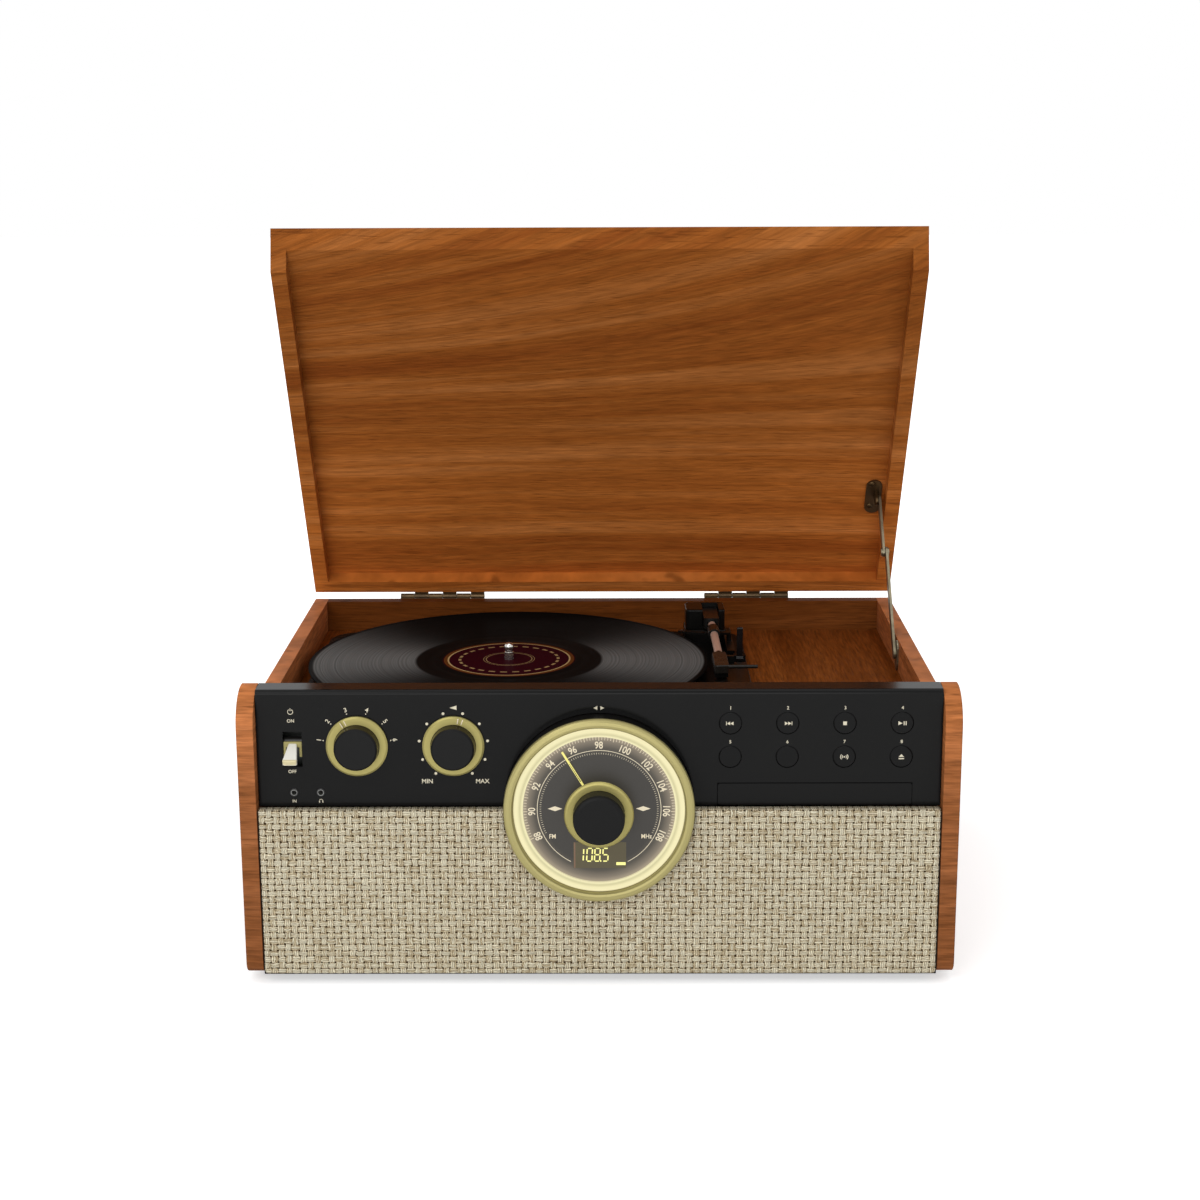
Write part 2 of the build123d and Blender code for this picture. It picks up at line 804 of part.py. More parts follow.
with BuildPart() as turntable_plate:
    with BuildSketch(level(deck_top)) as outer:
        with Locations((plate_x, plate_y)):
            RectangleRounded(plate_width, plate_length, plate_corner)
    extrude(outer.sketch, amount=plate_height)
    fillet(turntable_plate.faces().sort_by(Axis.Z)[-1].edges(), plate_edge)
    with BuildSketch(level(deck_top)) as inner:
        with Locations((plate_x, plate_y)):
            RectangleRounded(plate_width - 2 * plate_wall, plate_length - 2 * plate_wall,
                             plate_corner - plate_wall)
    extrude(inner.sketch, amount=plate_height - plate_wall, mode=Mode.SUBTRACT)
    disc(level(plate_top), (spindle_x, spindle_y), spindle_radius + pin_fit, -plate_wall, Mode.SUBTRACT)
    disc(level(plate_top), (pulley_x, pulley_y), pulley_hub + 1.0, -plate_wall, Mode.SUBTRACT)
    with BuildSketch(level(plate_top)) as slot:
        with Locations((speed_x, speed_y)):
            SlotCenterToCenter(2 * speed_travel + 3, 2 * speed_stem + 0.6, rotation=90)
    extrude(slot.sketch, amount=-plate_wall, mode=Mode.SUBTRACT)
    for ear_side in (-1, 1):
        ear_inner = cue_x + ear_side * (cue_half + turning_gap)
        ear_outer = ear_inner + ear_side * ear_thickness
        rectangle(level(plate_top), min(ear_inner, ear_outer), max(ear_inner, ear_outer),
                  cue_y - ear_half, cue_y + ear_half, ear_height)
    disc(side(cue_x - cue_half - 2 * ear_thickness), (cue_y, cue_pivot_z), cue_pin + pin_play,
         2 * (cue_half + 2 * ear_thickness), Mode.SUBTRACT)
save("turntable_plate", turntable_plate.part)

collar_high = plate_top - plate_wall
collar_low = collar_high - collar_at_spindle_height
spindle_low = collar_low - spindle_tail
spindle_shoulder = record_top + spindle_height - 2 * spindle_radius
with BuildPart() as spindle:
    turned_upright(spindle_x, spindle_y, [
        (0, spindle_low), (spindle_radius, spindle_low), (spindle_radius, collar_low),
        (collar_at_spindle, collar_low), (collar_at_spindle, collar_high), (spindle_radius, collar_high),
        (spindle_radius, spindle_shoulder), (0, spindle_shoulder),
    ])
    with BuildSketch(facing(spindle_y)) as ball:
        with Locations((spindle_x, spindle_shoulder + spindle_radius)):
            Circle(spindle_radius)
        with Locations((spindle_x - spindle_radius, spindle_shoulder + spindle_radius)):
            Rectangle(2 * spindle_radius, 4 * spindle_radius, mode=Mode.SUBTRACT)
    revolve(ball.sketch, axis=Axis((spindle_x, front_y + spindle_y, 0), (0, 0, 1)))
    disc(level(spindle_shoulder - 1), (spindle_x, spindle_y), spindle_neck, spindle_radius - 0.6)
save("spindle", spindle.part)

platter_low = plate_top + 0.9
boss_low = plate_top + 0.4
with BuildPart() as platter:
    turned_upright(spindle_x, spindle_y, [
        (spindle_radius + pin_fit, boss_low), (boss_at_spindle, boss_low), (boss_at_spindle, platter_under),
        (hub_radius - hub_wall, platter_under), (hub_radius - hub_wall, platter_low), (hub_radius, platter_low),
        (hub_radius, platter_under), (platter_radius - platter_rim, platter_under),
        (platter_radius - platter_rim, platter_low), (platter_radius - 1, platter_low),
        (platter_radius, platter_low + 1), (platter_radius, platter_top), (spindle_radius + pin_fit, platter_top),
    ])
save("platter", platter.part)

with BuildPart() as slip_mat:
    disc(level(platter_top), (spindle_x, spindle_y), mat_radius, mat_thickness)
    disc(level(platter_top), (spindle_x, spindle_y), spindle_radius + 0.4, mat_thickness, Mode.SUBTRACT)
save("slip_mat", slip_mat.part)

groove_top = record_top - 0.25
with BuildPart() as record:
    turned_upright(spindle_x, spindle_y, [
        (spindle_radius + 0.1, mat_top), (record_radius - 0.5, mat_top), (record_radius, mat_top + 0.5),
        (record_radius, record_top - 0.3), (record_radius - 0.8, record_top), (record_radius - 3, record_top),
        (record_radius - 4, groove_top), (label_radius + 6, groove_top), (label_radius + 1, record_top),
        (spindle_radius + 0.1, record_top),
    ])
save("record", record.part)

belt_low = platter_low + 0.4
belt_gap = 0.3


def belt_loop(spare, amount, mode=Mode.ADD):
    """The taut loop round the platter's hub and the pulley, grown by a spare width."""
    with BuildSketch(level(belt_low)) as loop:
        with Locations((spindle_x, spindle_y)):
            Circle(hub_radius + spare)
        with Locations((pulley_x, pulley_y)):
            Circle(pulley_radius + spare)
        make_hull()
    extrude(loop.sketch, amount=amount, mode=mode)


with BuildPart() as drive_belt:
    belt_loop(belt_gap + belt_thickness, belt_height)
    belt_loop(belt_gap, belt_height, Mode.SUBTRACT)
save("drive_belt", drive_belt.part)

motor_top = plate_top - plate_wall
motor_low = motor_top - motor_height
motor_edge = 1.5
shaft_top = platter_under - 0.6
with BuildPart() as platter_motor:
    turned_upright(pulley_x, pulley_y, [
        (0, motor_low), (motor_radius - motor_edge, motor_low), (motor_radius, motor_low + motor_edge),
        (motor_radius, motor_top), (motor_shaft, motor_top), (motor_shaft, shaft_top), (0, shaft_top),
    ])
save("platter_motor", platter_motor.part)

with BuildPart() as motor_pulley:
    turned_upright(pulley_x, pulley_y, [
        (motor_shaft + pin_fit, plate_top - 1.5), (pulley_hub, plate_top - 1.5), (pulley_hub, plate_top + 0.5),
        (pulley_radius, plate_top + 0.5), (pulley_radius, platter_under - 0.4),
        (motor_shaft + pin_fit, platter_under - 0.4),
    ])
save("motor_pulley", motor_pulley.part)

# Tonearm on its base, yoke and pivot

base_top = plate_top + base_height
yoke_high = plate_top + yoke_top
lug_low = arm_z - arm_lug_below
lug_high = arm_z + arm_lug_above
arm_pivot_plane = Plane(
    origin=arm_level(arm_z).origin,
    x_dir=arm_level(arm_z).x_dir,
    z_dir=arm_level(arm_z).y_dir,
)
arm_axis_plane = Plane(origin=arm_level(arm_z).origin, x_dir=(0, 0, 1), z_dir=arm_level(arm_z).x_dir)

lifter_turn = degrees(asin(cueing_offset / lifter_reach))
lifter_spot = (arm_x + cueing_offset, arm_y - sqrt(lifter_reach ** 2 - cueing_offset ** 2))
lifter_top = arm_z - arm_tube_radius - stylus_clearance

with BuildPart() as tonearm_base:
    with BuildSketch(arm_level(plate_top)) as footprint:
        with Locations((0, -yoke_offset)):
            RectangleRounded(yoke_length + base_margin, yoke_width + base_margin,
                             yoke_corner + base_margin / 2)
    extrude(footprint.sketch, amount=base_height)
    fillet(tonearm_base.faces().sort_by(Axis.Z)[-1].edges(), base_edge)
    rectangle(level(plate_top), arm_x + cueing_offset - cueing_half, arm_x + cueing_offset + cueing_half,
              cue_y + cueing_start, arm_y, cueing_height)
    disc(level(plate_top), lifter_spot, lifter_post + pin_play, cueing_height, Mode.SUBTRACT)
save("tonearm_base", tonearm_base.part)

with BuildPart() as tonearm_yoke:
    with BuildSketch(arm_level(base_top + turning_gap)) as footprint:
        with Locations((0, -yoke_offset)):
            RectangleRounded(yoke_length, yoke_width, yoke_corner)
    extrude(footprint.sketch, amount=yoke_high - base_top - turning_gap)
    fillet(tonearm_yoke.faces().sort_by(Axis.Z)[-1].edges(), yoke_edge)
    rectangle(arm_level(lug_low - 1.2), arm_lug_start - 1.5, yoke_length, -slot_half, slot_half, yoke_top,
              Mode.SUBTRACT)
    with BuildSketch(arm_pivot_plane) as pin:
        Circle(arm_pin)
    extrude(pin.sketch, amount=slot_half + 2, both=True)
save("tonearm_yoke", tonearm_yoke.part)

with BuildPart() as tonearm:
    rectangle(arm_level(lug_low), arm_lug_start, arm_lug_end, -lug_half, lug_half, lug_high - lug_low)
    fillet(tonearm.edges().filter_by(Axis.Z), 2)
    with BuildSketch(arm_axis_plane.offset(arm_lug_end - 1)) as tube:
        Circle(arm_tube_radius)
    extrude(tube.sketch, amount=arm_tube_end - arm_lug_end + 1)
    with BuildSketch(arm_axis_plane.offset(collar_start)) as sleeve:
        Circle(collar_radius)
    extrude(sleeve.sketch, amount=collar_length)
    with BuildSketch(arm_pivot_plane) as bore:
        Circle(arm_pin + pin_play)
    extrude(bore.sketch, amount=slot_half, both=True, mode=Mode.SUBTRACT)
save("tonearm", tonearm.part)

head_low = arm_z - arm_tube_radius
head_end = arm_tube_end + head_length
cartridge_low = record_top + cartridge_rise
stylus_x = head_end - stylus_setback
with BuildPart() as headshell:
    filled(
        arm_level(head_low),
        [(arm_tube_end, -head_width / 2), (arm_tube_end, head_width / 2), (head_end - 1, head_width / 2),
         (head_end, -head_width / 2)],
        head_thickness,
    )
    fillet(headshell.edges().filter_by(Axis.Z), 2.5)
    fillet(headshell.faces().sort_by(Axis.Z)[-1].edges(), 1.0)
    with BuildSketch(arm_pivot_plane) as finger_lift:
        with Locations((stylus_x + 3, finger_drop)):
            Circle(finger_radius)
    extrude(finger_lift.sketch, amount=finger_length)
save("headshell", headshell.part)

with BuildPart() as cartridge:
    with BuildSketch(arm_level(cartridge_low)) as shell:
        with Locations((stylus_x - cartridge_setback, 0)):
            Rectangle(cartridge_length, head_width - 1)
    extrude(shell.sketch, amount=head_low - cartridge_low)
    with BuildSketch(arm_level(cartridge_low)) as stylus:
        with Locations((stylus_x, 0)):
            Circle(1.1)
    extrude(stylus.sketch, amount=-(cartridge_low - record_top - stylus_clearance), taper=20)
save("cartridge", cartridge.part)

# Curved bar that lifts the arm, on a post in the cueing housing

with BuildPart() as arm_lifter:
    with BuildSketch(level(lifter_top)) as bar:
        with BuildLine():
            CenterArc((arm_x, arm_y), lifter_reach, -90 - lifter_sweep, lifter_sweep + lifter_turn)
        trace(line_width=lifter_width)
    extrude(bar.sketch, amount=-lifter_thickness)
    lifter_low = lifter_top - lifter_thickness
    disc(level(lifter_low), lifter_spot, lifter_post, plate_top - lifter_low)
save("arm_lifter", arm_lifter.part)

# Stand beside the record with a shelf that carries the parked arm

stand_top = record_top - 0.2
post_right = arm_x + cueing_offset
rest_front = arm_y - rest_reach - rest_width / 2
with BuildPart() as arm_rest:
    filled(level(plate_top), [
        (arm_x - stand_left, arm_y - stand_front), (arm_x + stand_shoulder, arm_y - stand_back),
        (arm_x + stand_right, arm_y - stand_back), (arm_x + stand_right, arm_y - stand_front),
    ], stand_top - plate_top)
    rectangle(level(stand_top), post_right - rest_post, post_right, rest_front, rest_front + rest_width,
              lifter_top - stand_top)
    rectangle(level(lifter_top - shelf_thickness), post_right - rest_shelf, post_right, rest_front,
              rest_front + rest_width, shelf_thickness)
save("arm_rest", arm_rest.part)

# Cueing lever and speed selector

with BuildPart() as cue_lever:
    rectangle(level(cue_pivot_z), cue_x - cue_bar_half, cue_x + cue_bar_half, cue_y - cue_bar_half + 0.2,
              cue_y + cue_bar_half - 0.2, cue_length)
    fillet(cue_lever.faces().sort_by(Axis.Z)[-1].edges(), cue_edge)
    disc(side(cue_x - cue_half), (cue_y, cue_pivot_z), cue_hub, 2 * cue_half)
    disc(side(cue_x - cue_half - ear_thickness), (cue_y, cue_pivot_z), cue_pin, 2 * (cue_half + ear_thickness))
save("cue_lever", cue_lever.part)

with BuildPart() as speed_knob:
    with BuildSketch(level(plate_top + turning_gap)) as grip:
        with Locations((speed_x, speed_y)):
            RectangleRounded(speed_grip_width, speed_grip_length, 2)
    extrude(grip.sketch, amount=speed_grip_height)
    disc(level(plate_top - plate_wall - 1.5), (speed_x, speed_y), speed_stem, plate_wall + 2)
save("speed_knob", speed_knob.part)

# Power lever in its slot

lever_dip = radians(lever_tilt)
lever_pivot = (lever_x, front_y + lever_y, foot_height + lever_z)
lever_plane = Plane(
    origin=lever_pivot,
    x_dir=(0, -cos(lever_dip), -sin(lever_dip)),
    z_dir=(0, -sin(lever_dip), cos(lever_dip)),
)
with BuildPart() as power_lever:
    with BuildSketch(lever_plane.offset(-lever_thickness / 2)) as paddle:
        with BuildLine():
            Polyline((0, -lever_root_half), (lever_length, -lever_end_half), (lever_length, lever_end_half),
                     (0, lever_root_half), close=True)
        make_face()
        fillet(paddle.vertices().group_by(Axis.X)[-1], 1.2)
    extrude(paddle.sketch, amount=lever_thickness)
    fillet(power_lever.edges().group_by(SortBy.LENGTH)[-1], 0.8)
    hub_half = lever_slot_width / 2 - turning_gap
    disc(side(lever_x - hub_half), (lever_y, lever_z), lever_hub, 2 * hub_half)
    pin_half = lever_slot_width / 2 + lever_ear - turning_gap
    disc(side(lever_x - pin_half), (lever_y, lever_z), lever_pin, 2 * pin_half)
save("power_lever", power_lever.part)

# Source and volume knobs, a cap on a plated skirt with a pointer notch

hub_end = board_y - unit_depth - hub_reach


def round_knob(x, mark):
    """Knob turned about a forward line, with its pointer notch at an angle from the top."""
    skirt_back = fascia_recess - panel_gap
    skirt_front = skirt_back - knob_skirt
    cap_end = skirt_front - knob_cap_length
    turned_forward(x, control_z, [
        (hub_end, 0), (hub_end, shaft_radius + 1), (skirt_back, shaft_radius + 1),
        (skirt_back, knob_skirt_radius),
        (skirt_front + 0.8, knob_skirt_radius), (skirt_front, knob_skirt_radius - 1.2),
        (skirt_front, knob_cap_radius), (cap_end + 1.2, knob_cap_radius - 0.6),
        (cap_end, knob_cap_radius - 1.8),
        (cap_end, 0),
    ])
    turn = radians(mark)
    reach = (knob_cap_radius + knob_skirt_radius) / 2 + 0.4
    with BuildSketch(facing(skirt_front + 1.0)) as notch:
        with Locations((x + reach * sin(turn), control_z + reach * cos(turn))):
            Rectangle(1.8, knob_skirt_radius - knob_cap_radius + 0.4, rotation=-mark)
    extrude(notch.sketch, amount=3, mode=Mode.SUBTRACT)


with BuildPart() as source_knob:
    round_knob(source_x, source_mark)
save("source_knob", source_knob.part)

with BuildPart() as volume_knob:
    round_knob(volume_x, volume_mark)
save("volume_knob", volume_knob.part)

# Tuning dial, a drum with a plated bezel, a lit face, a needle and its knob

drum_front = bezel_front + 4.0
drum_back = fascia_rear + 2.0
drum_inner = drum_radius - drum_wall
face_front = bezel_front + 5.5
face_back = drum_back - 5.0

with BuildPart() as dial_drum:
    turned_forward(0, dial_z, [
        (drum_front, drum_inner), (drum_front, drum_radius), (drum_back - 2, drum_radius),
        (drum_back - 2, drum_radius + 4), (drum_back, drum_radius + 4),
        (drum_back, shaft_radius + shaft_clearance),
        (face_back, shaft_radius + shaft_clearance), (face_back, drum_inner),
    ])
save("dial_drum", dial_drum.part)

bezel_inner = dial_radius - bezel_width
with BuildPart() as dial_bezel:
    turned_forward(0, dial_z, [
        (drum_front, bezel_inner), (bezel_front + 1.4, bezel_inner), (bezel_front + 0.3, bezel_inner + 0.9),
        (bezel_front, bezel_inner + 2.4), (bezel_front + 0.2, dial_radius - 1.8),
        (bezel_front + 1.0, dial_radius - 0.5), (bezel_front + 2.2, dial_radius), (drum_front, dial_radius),
    ])
save("dial_bezel", dial_bezel.part)

with BuildPart() as dial_face:
    turned_forward(0, dial_z, [
        (face_front, shaft_radius + shaft_clearance), (face_front, glow_ring_inner),
        (face_front - 1.5, glow_ring_inner), (face_front - 1.5, glow_ring_outer), (face_back, glow_ring_outer),
        (face_back, shaft_radius + shaft_clearance),
    ])
save("dial_face", dial_face.part)

needle_front = face_front - 1.9
with BuildPart() as dial_needle:
    needle_turn = radians(needle_angle)
    needle_mid = (needle_tip + 10) / 2
    disc(facing(needle_front + 1.1), (0, dial_z), 18.4, 1.1)
    with BuildSketch(facing(needle_front + 0.9)) as pointer:
        with Locations((needle_mid * sin(needle_turn), dial_z + needle_mid * cos(needle_turn))):
            Rectangle(1.3, needle_tip - 10, rotation=-needle_angle)
    extrude(pointer.sketch, amount=0.9)
    disc(facing(needle_front + 1.1), (0, dial_z), shaft_radius + pin_fit, 1.1, Mode.SUBTRACT)
save("dial_needle", dial_needle.part)

ring_back = needle_front - 0.4
with BuildPart() as tuning_ring:
    turned_forward(0, dial_z, [
        (ring_back, tuning_cap_radius + 0.2), (ring_back, tuning_ring_radius - 4.2),
        (ring_front + 2.4, tuning_ring_radius - 0.6), (ring_front + 1.2, tuning_ring_radius),
        (ring_front + 0.3, tuning_ring_radius - 0.7), (ring_front, tuning_ring_radius - 2.0),
        (ring_front, tuning_cap_radius + 0.2),
    ])
save("tuning_ring", tuning_ring.part)

with BuildPart() as tuning_knob:
    turned_forward(0, dial_z, [
        (hub_end, 0), (hub_end, shaft_radius), (ring_back, shaft_radius), (ring_back, tuning_cap_radius),
        (cap_front + 2.4, tuning_cap_radius), (cap_front + 0.7, tuning_cap_radius - 0.7),
        (cap_front, tuning_cap_radius - 2.4), (cap_front, 0),
    ])
save("tuning_knob", tuning_knob.part)

# Eight keys, each a round cap with a flange and stem behind the panel

button_front = fascia_recess - 0.4
flange_front = fascia_rear + 0.4
flange_radius = button_radius + button_flange
button_end = board_y - button_travel - 0.5
for row, row_z in enumerate(button_rows):
    for column, button_name in enumerate(button_names[row]):
        button_x = button_first_x + column * button_pitch_x
        with BuildPart() as button:
            turned_forward(button_x, row_z, [
                (button_end, 0), (button_end, button_stem), (flange_front + 1.2, button_stem),
                (flange_front + 1.2, flange_radius), (flange_front, flange_radius),
                (flange_front, button_radius),
                (button_front + 0.6, button_radius), (button_front, button_radius - 0.6), (button_front, 0),
            ])
        save(f"button_{button_name}", button.part)

# Board behind the panel with the three turned controls on it

board_half = inner_half - board_inset
board_high, board_low = (cheek_height - drop for drop in board_drops)
board_tab_low = dial_z - board_tab_drop
with BuildPart() as control_board:
    filled(facing(board_y + board_thickness), [
        (-board_half, board_low), (-board_tab_half, board_low), (-board_tab_half, board_tab_low),
        (board_tab_half, board_tab_low), (board_tab_half, board_low), (board_half, board_low),
        (board_half, board_high), (-board_half, board_high),
    ], board_thickness)
    for unit_x, unit_z in ((source_x, control_z), (volume_x, control_z), (0, dial_z)):
        rectangle(facing(board_y), unit_x - unit_half, unit_x + unit_half,
                  unit_z - unit_half, unit_z + unit_half, unit_depth)
        disc(facing(board_y - unit_depth), (unit_x, unit_z), unit_neck, hub_reach - panel_gap)
save("control_board", control_board.part)

jack_front = fascia_recess - jack_stand
jack_end = jack_front + jack_depth
jack_outer = jack_radius - pin_fit
with BuildPart() as front_jacks:
    for jack_x in jack_xs:
        turned_forward(jack_x, jack_z, [
            (jack_front, jack_bore), (jack_front, jack_radius - 0.4), (jack_front + 0.5, jack_outer),
            (fascia_rear, jack_outer), (fascia_rear, jack_shell), (jack_end + 2, jack_shell),
            (jack_end + 2, 0), (jack_end, 0), (jack_end, jack_bore),
        ])
save("front_jacks", front_jacks.part)

# Disc tray with its door, and the housing that it slides in

door_low = fascia_low + door_foot_gap
tray_half = door_width / 2 - tray_inset
tray_low = door_low + tray_rise
tray_high = tray_low + tray_thickness
door_front = fascia_recess - door_stand
door_back = door_front + door_thickness
tray_back = door_back + tray_length
disc_y = door_back + disc_setback + disc_radius

with BuildPart() as cd_tray:
    with BuildSketch(facing(door_back)) as door:
        with Locations((tray_x, (door_low + door_top) / 2)):
            RectangleRounded(door_width, door_top - door_low, door_corner)
    extrude(door.sketch, amount=door_thickness)
    rectangle(level(tray_low), tray_x - tray_half, tray_x + tray_half, door_back, tray_back, tray_thickness)
    disc(level(tray_high), (tray_x, disc_y), disc_radius, -well_sink, Mode.SUBTRACT)
    disc(level(tray_high), (tray_x, disc_y), disc_hole, -tray_thickness, Mode.SUBTRACT)
save("cd_tray", cd_tray.part)

bay_low = tray_low - panel_gap
bay_high = tray_high + housing_room
bay_half = tray_half + housing_side_gap
housing_front = fascia_rear + 2.0
housing_back = tray_back + housing_spare
housing_low = bay_low - 2.0
housing_high = bay_high + housing_wall + housing_side_gap
housing_half = bay_half + housing_wall
cutout_right = plate_x + plate_width / 2 - plate_flange
deck_under = deck_top - deck_thickness
with BuildPart() as cd_mechanism:
    rectangle(level(housing_low), tray_x - housing_half, tray_x + housing_half, housing_front, housing_back,
              housing_high - housing_low)
    rectangle(level(bay_low), tray_x - bay_half, tray_x + bay_half, housing_front, tray_back + 1.0,
              bay_high - bay_low, Mode.SUBTRACT)
    for pad_x in (cutout_right + housing_wall, tray_x + tray_half - tray_inset - pad_width):
        rectangle(level(housing_high), pad_x, pad_x + pad_width, pad_front, pad_back,
                  deck_under - housing_high)
save("cd_mechanism", cd_mechanism.part)

# Loudspeakers behind the baffle

magnet_front = baffle_back + cone_depth
magnet_back = magnet_front + magnet_length
dome_front = magnet_front - 12
with BuildPart() as speakers:
    for speaker_side in (-speaker_x, speaker_x):
        turned_forward(speaker_side, speaker_z, [
            (baffle_back, speaker_hole - 3), (baffle_back, speaker_rim), (baffle_back + 3, speaker_rim),
            (magnet_front, magnet_radius - 4), (magnet_front, magnet_radius), (magnet_back, magnet_radius),
            (magnet_back, 0), (dome_front, 0), (dome_front + 2, cone_radius - 4),
            (magnet_front - 4, cone_radius),
            (baffle_back + 5, speaker_hole - 6), (baffle_back + 1.5, speaker_hole - 4),
        ])
save("speakers", speakers.part)

# Amplifier board on posts, with its mains transformer, heat sink and capacitors

main_y = inner_back - main_back_gap - main_length / 2
main_level = bottom_thickness + post_height
main_top = main_level + board_thickness
main_left = main_x - main_width / 2
main_front = main_y - main_length / 2
core_x = main_left + 42
core_y = main_y - 3
can_x = main_x + 35
sink_back = main_y + main_length / 2 - 4


def mounted(x, y, width, length, base, height):
    """A block on the board, centred at x and y and so far over its upper side."""
    rectangle(level(main_top + base), x - width / 2, x + width / 2, y - length / 2, y + length / 2, height)


with BuildPart() as main_board:
    rectangle(level(main_level), main_left, main_left + main_width, main_front, main_front + main_length,
              board_thickness)
    for post_x in (main_left + post_inset, main_left + main_width - post_inset):
        for post_y in (main_front + post_inset, main_front + main_length - post_inset):
            disc(level(bottom_thickness), (post_x, post_y), post_radius, post_height)
    mounted(main_x + sink_width / 2, sink_back - sink_length / 2, sink_width, sink_length, 0, sink_height)
    for index in range(2):
        disc(level(main_top), (can_x + index * can_pitch, main_y + 26), can_radius, can_height)
    mounted(main_x + chip_side, main_y - chip_side / 2, chip_side, chip_side, 0, chip_height)
    mounted(core_x, core_y, core_width, core_length, 0, core_height)
    winding_rise = (core_height - winding_height) / 2
    mounted(core_x, core_y, winding_width, winding_length, winding_rise, winding_height)
save("main_board", main_board.part)

# Rear terminal plate with line sockets and the mains inlet

terminal_face = body_depth + terminal_thickness
inlet_x = terminal_x + inlet_offset
with BuildPart() as terminal_plate:
    with BuildSketch(facing(terminal_face)) as panel:
        with Locations((terminal_x, terminal_z)):
            RectangleRounded(terminal_width, terminal_height, 3)
    extrude(panel.sketch, amount=terminal_thickness)
    rectangle(facing(body_depth), inlet_x - inlet_width / 2, inlet_x + inlet_width / 2,
              terminal_z - inlet_height / 2, terminal_z + inlet_height / 2, inlet_depth)
    with BuildSketch(facing(terminal_face)) as inlet:
        with Locations((inlet_x, terminal_z)):
            SlotCenterToCenter(inlet_pin_pitch, inlet_hole)
    extrude(inlet.sketch, amount=inlet_depth, mode=Mode.SUBTRACT)
    for index in range(4):
        turned_forward(terminal_x + socket_first + index * socket_pitch, terminal_z, [
            (body_depth - 8, 0), (body_depth - 8, socket_shell + 0.4), (terminal_face, socket_shell + 0.4),
            (terminal_face, socket_flange), (terminal_face + 1, socket_flange),
            (terminal_face + 1, socket_shell),
            (body_depth + socket_length, socket_shell), (body_depth + socket_length, socket_bore),
            (terminal_face + 0.5, socket_bore), (terminal_face + 0.5, 0),
        ])
save("terminal_plate", terminal_plate.part)
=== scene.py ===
import json
import random
from math import atan2, cos, hypot, pi, radians, sin, tau

import bmesh
import bpy
from mathutils import Matrix, Vector


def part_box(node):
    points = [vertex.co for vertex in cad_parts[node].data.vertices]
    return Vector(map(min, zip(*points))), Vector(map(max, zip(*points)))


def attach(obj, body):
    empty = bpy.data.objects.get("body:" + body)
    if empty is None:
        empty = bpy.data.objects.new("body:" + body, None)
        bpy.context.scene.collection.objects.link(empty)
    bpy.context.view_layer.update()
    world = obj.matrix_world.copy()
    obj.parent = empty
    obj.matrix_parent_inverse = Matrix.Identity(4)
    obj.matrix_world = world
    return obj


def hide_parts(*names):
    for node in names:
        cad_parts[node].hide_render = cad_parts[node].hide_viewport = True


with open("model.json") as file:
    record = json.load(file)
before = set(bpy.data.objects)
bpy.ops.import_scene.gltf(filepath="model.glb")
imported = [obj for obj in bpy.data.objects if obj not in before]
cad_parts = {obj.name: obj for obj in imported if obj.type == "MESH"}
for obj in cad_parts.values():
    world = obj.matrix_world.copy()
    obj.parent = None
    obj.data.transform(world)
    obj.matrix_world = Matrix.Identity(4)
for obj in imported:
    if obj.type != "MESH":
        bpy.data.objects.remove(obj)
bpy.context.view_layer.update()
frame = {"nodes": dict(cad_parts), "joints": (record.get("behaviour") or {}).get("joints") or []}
nodes = frame["nodes"]

# Camera. It stands in front of the set, a little above the hinges of the open lid,
# and looks down at the front panel through a short telephoto lens.
front_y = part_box("side_panel_left")[0].y
foot_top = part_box("bottom_panel")[0].z
camera_side, camera_away, camera_rise = 0.0113, 1.3031, 0.572
camera_place = Vector((camera_side, front_y - camera_away, foot_top + camera_rise))
pitch = radians(13.479)
yaw = radians(-0.447)
roll = radians(0.231)
ahead = Vector((sin(yaw) * cos(pitch), cos(yaw) * cos(pitch), -sin(pitch)))
level_right = Vector((cos(yaw), -sin(yaw), 0))
level_down = ahead.cross(level_right)
picture_right = level_right * cos(roll) + level_down * sin(roll)
picture_down = level_down * cos(roll) - level_right * sin(roll)
lens = bpy.data.cameras.new("camera")
lens.sensor_width = 36.0
lens.lens = 62.15
lens.shift_y = 0.0009
lens.clip_start = 0.05
lens.clip_end = 50.0
camera = bpy.data.objects.new("camera", lens)
bpy.context.scene.collection.objects.link(camera)
turned = Matrix((picture_right, -picture_down, -ahead)).transposed().to_4x4()
camera.matrix_world = Matrix.Translation(camera_place) @ turned
bpy.context.scene.camera = camera
bpy.context.scene.view_settings.view_transform = "Standard"

# Studio light. A soft box over the left shoulder, weaker ones to the right, overhead and
# behind both sides, a low one beside the camera that reaches under the open lid, and a
# dim even room light.


def soft_box(name, place, aim, size, power):
    """An area lamp that faces a point."""
    lamp = bpy.data.lights.new(name, "AREA")
    lamp.shape = "RECTANGLE"
    lamp.size, lamp.size_y = size
    lamp.energy = power
    thing = bpy.data.objects.new(name, lamp)
    bpy.context.scene.collection.objects.link(thing)
    thing.location = place
    thing.rotation_euler = (Vector(aim) - Vector(place)).to_track_quat("-Z", "Y").to_euler()


soft_box("key_light", (-1.1, -1.9, 1.9), (0, 0, 0.25), (1.6, 1.2), 17.0)
soft_box("side_light", (1.5, -1.7, 1.3), (0, 0, 0.2), (1.4, 1.2), 3.5)
soft_box("low_light", (-0.4, -2.3, 0.5), (0, 0.1, 0.3), (1.8, 0.9), 14.0)
soft_box("top_light", (0.0, -0.3, 2.2), (0, 0, 0.2), (1.6, 1.0), 7.0)
soft_box("rear_left_light", (-1.3, 1.1, 1.0), (-0.1, 0, 0.15), (0.8, 0.8), 3.0)
soft_box("rear_right_light", (1.3, 1.1, 1.0), (0.1, 0, 0.15), (0.8, 0.8), 2.5)


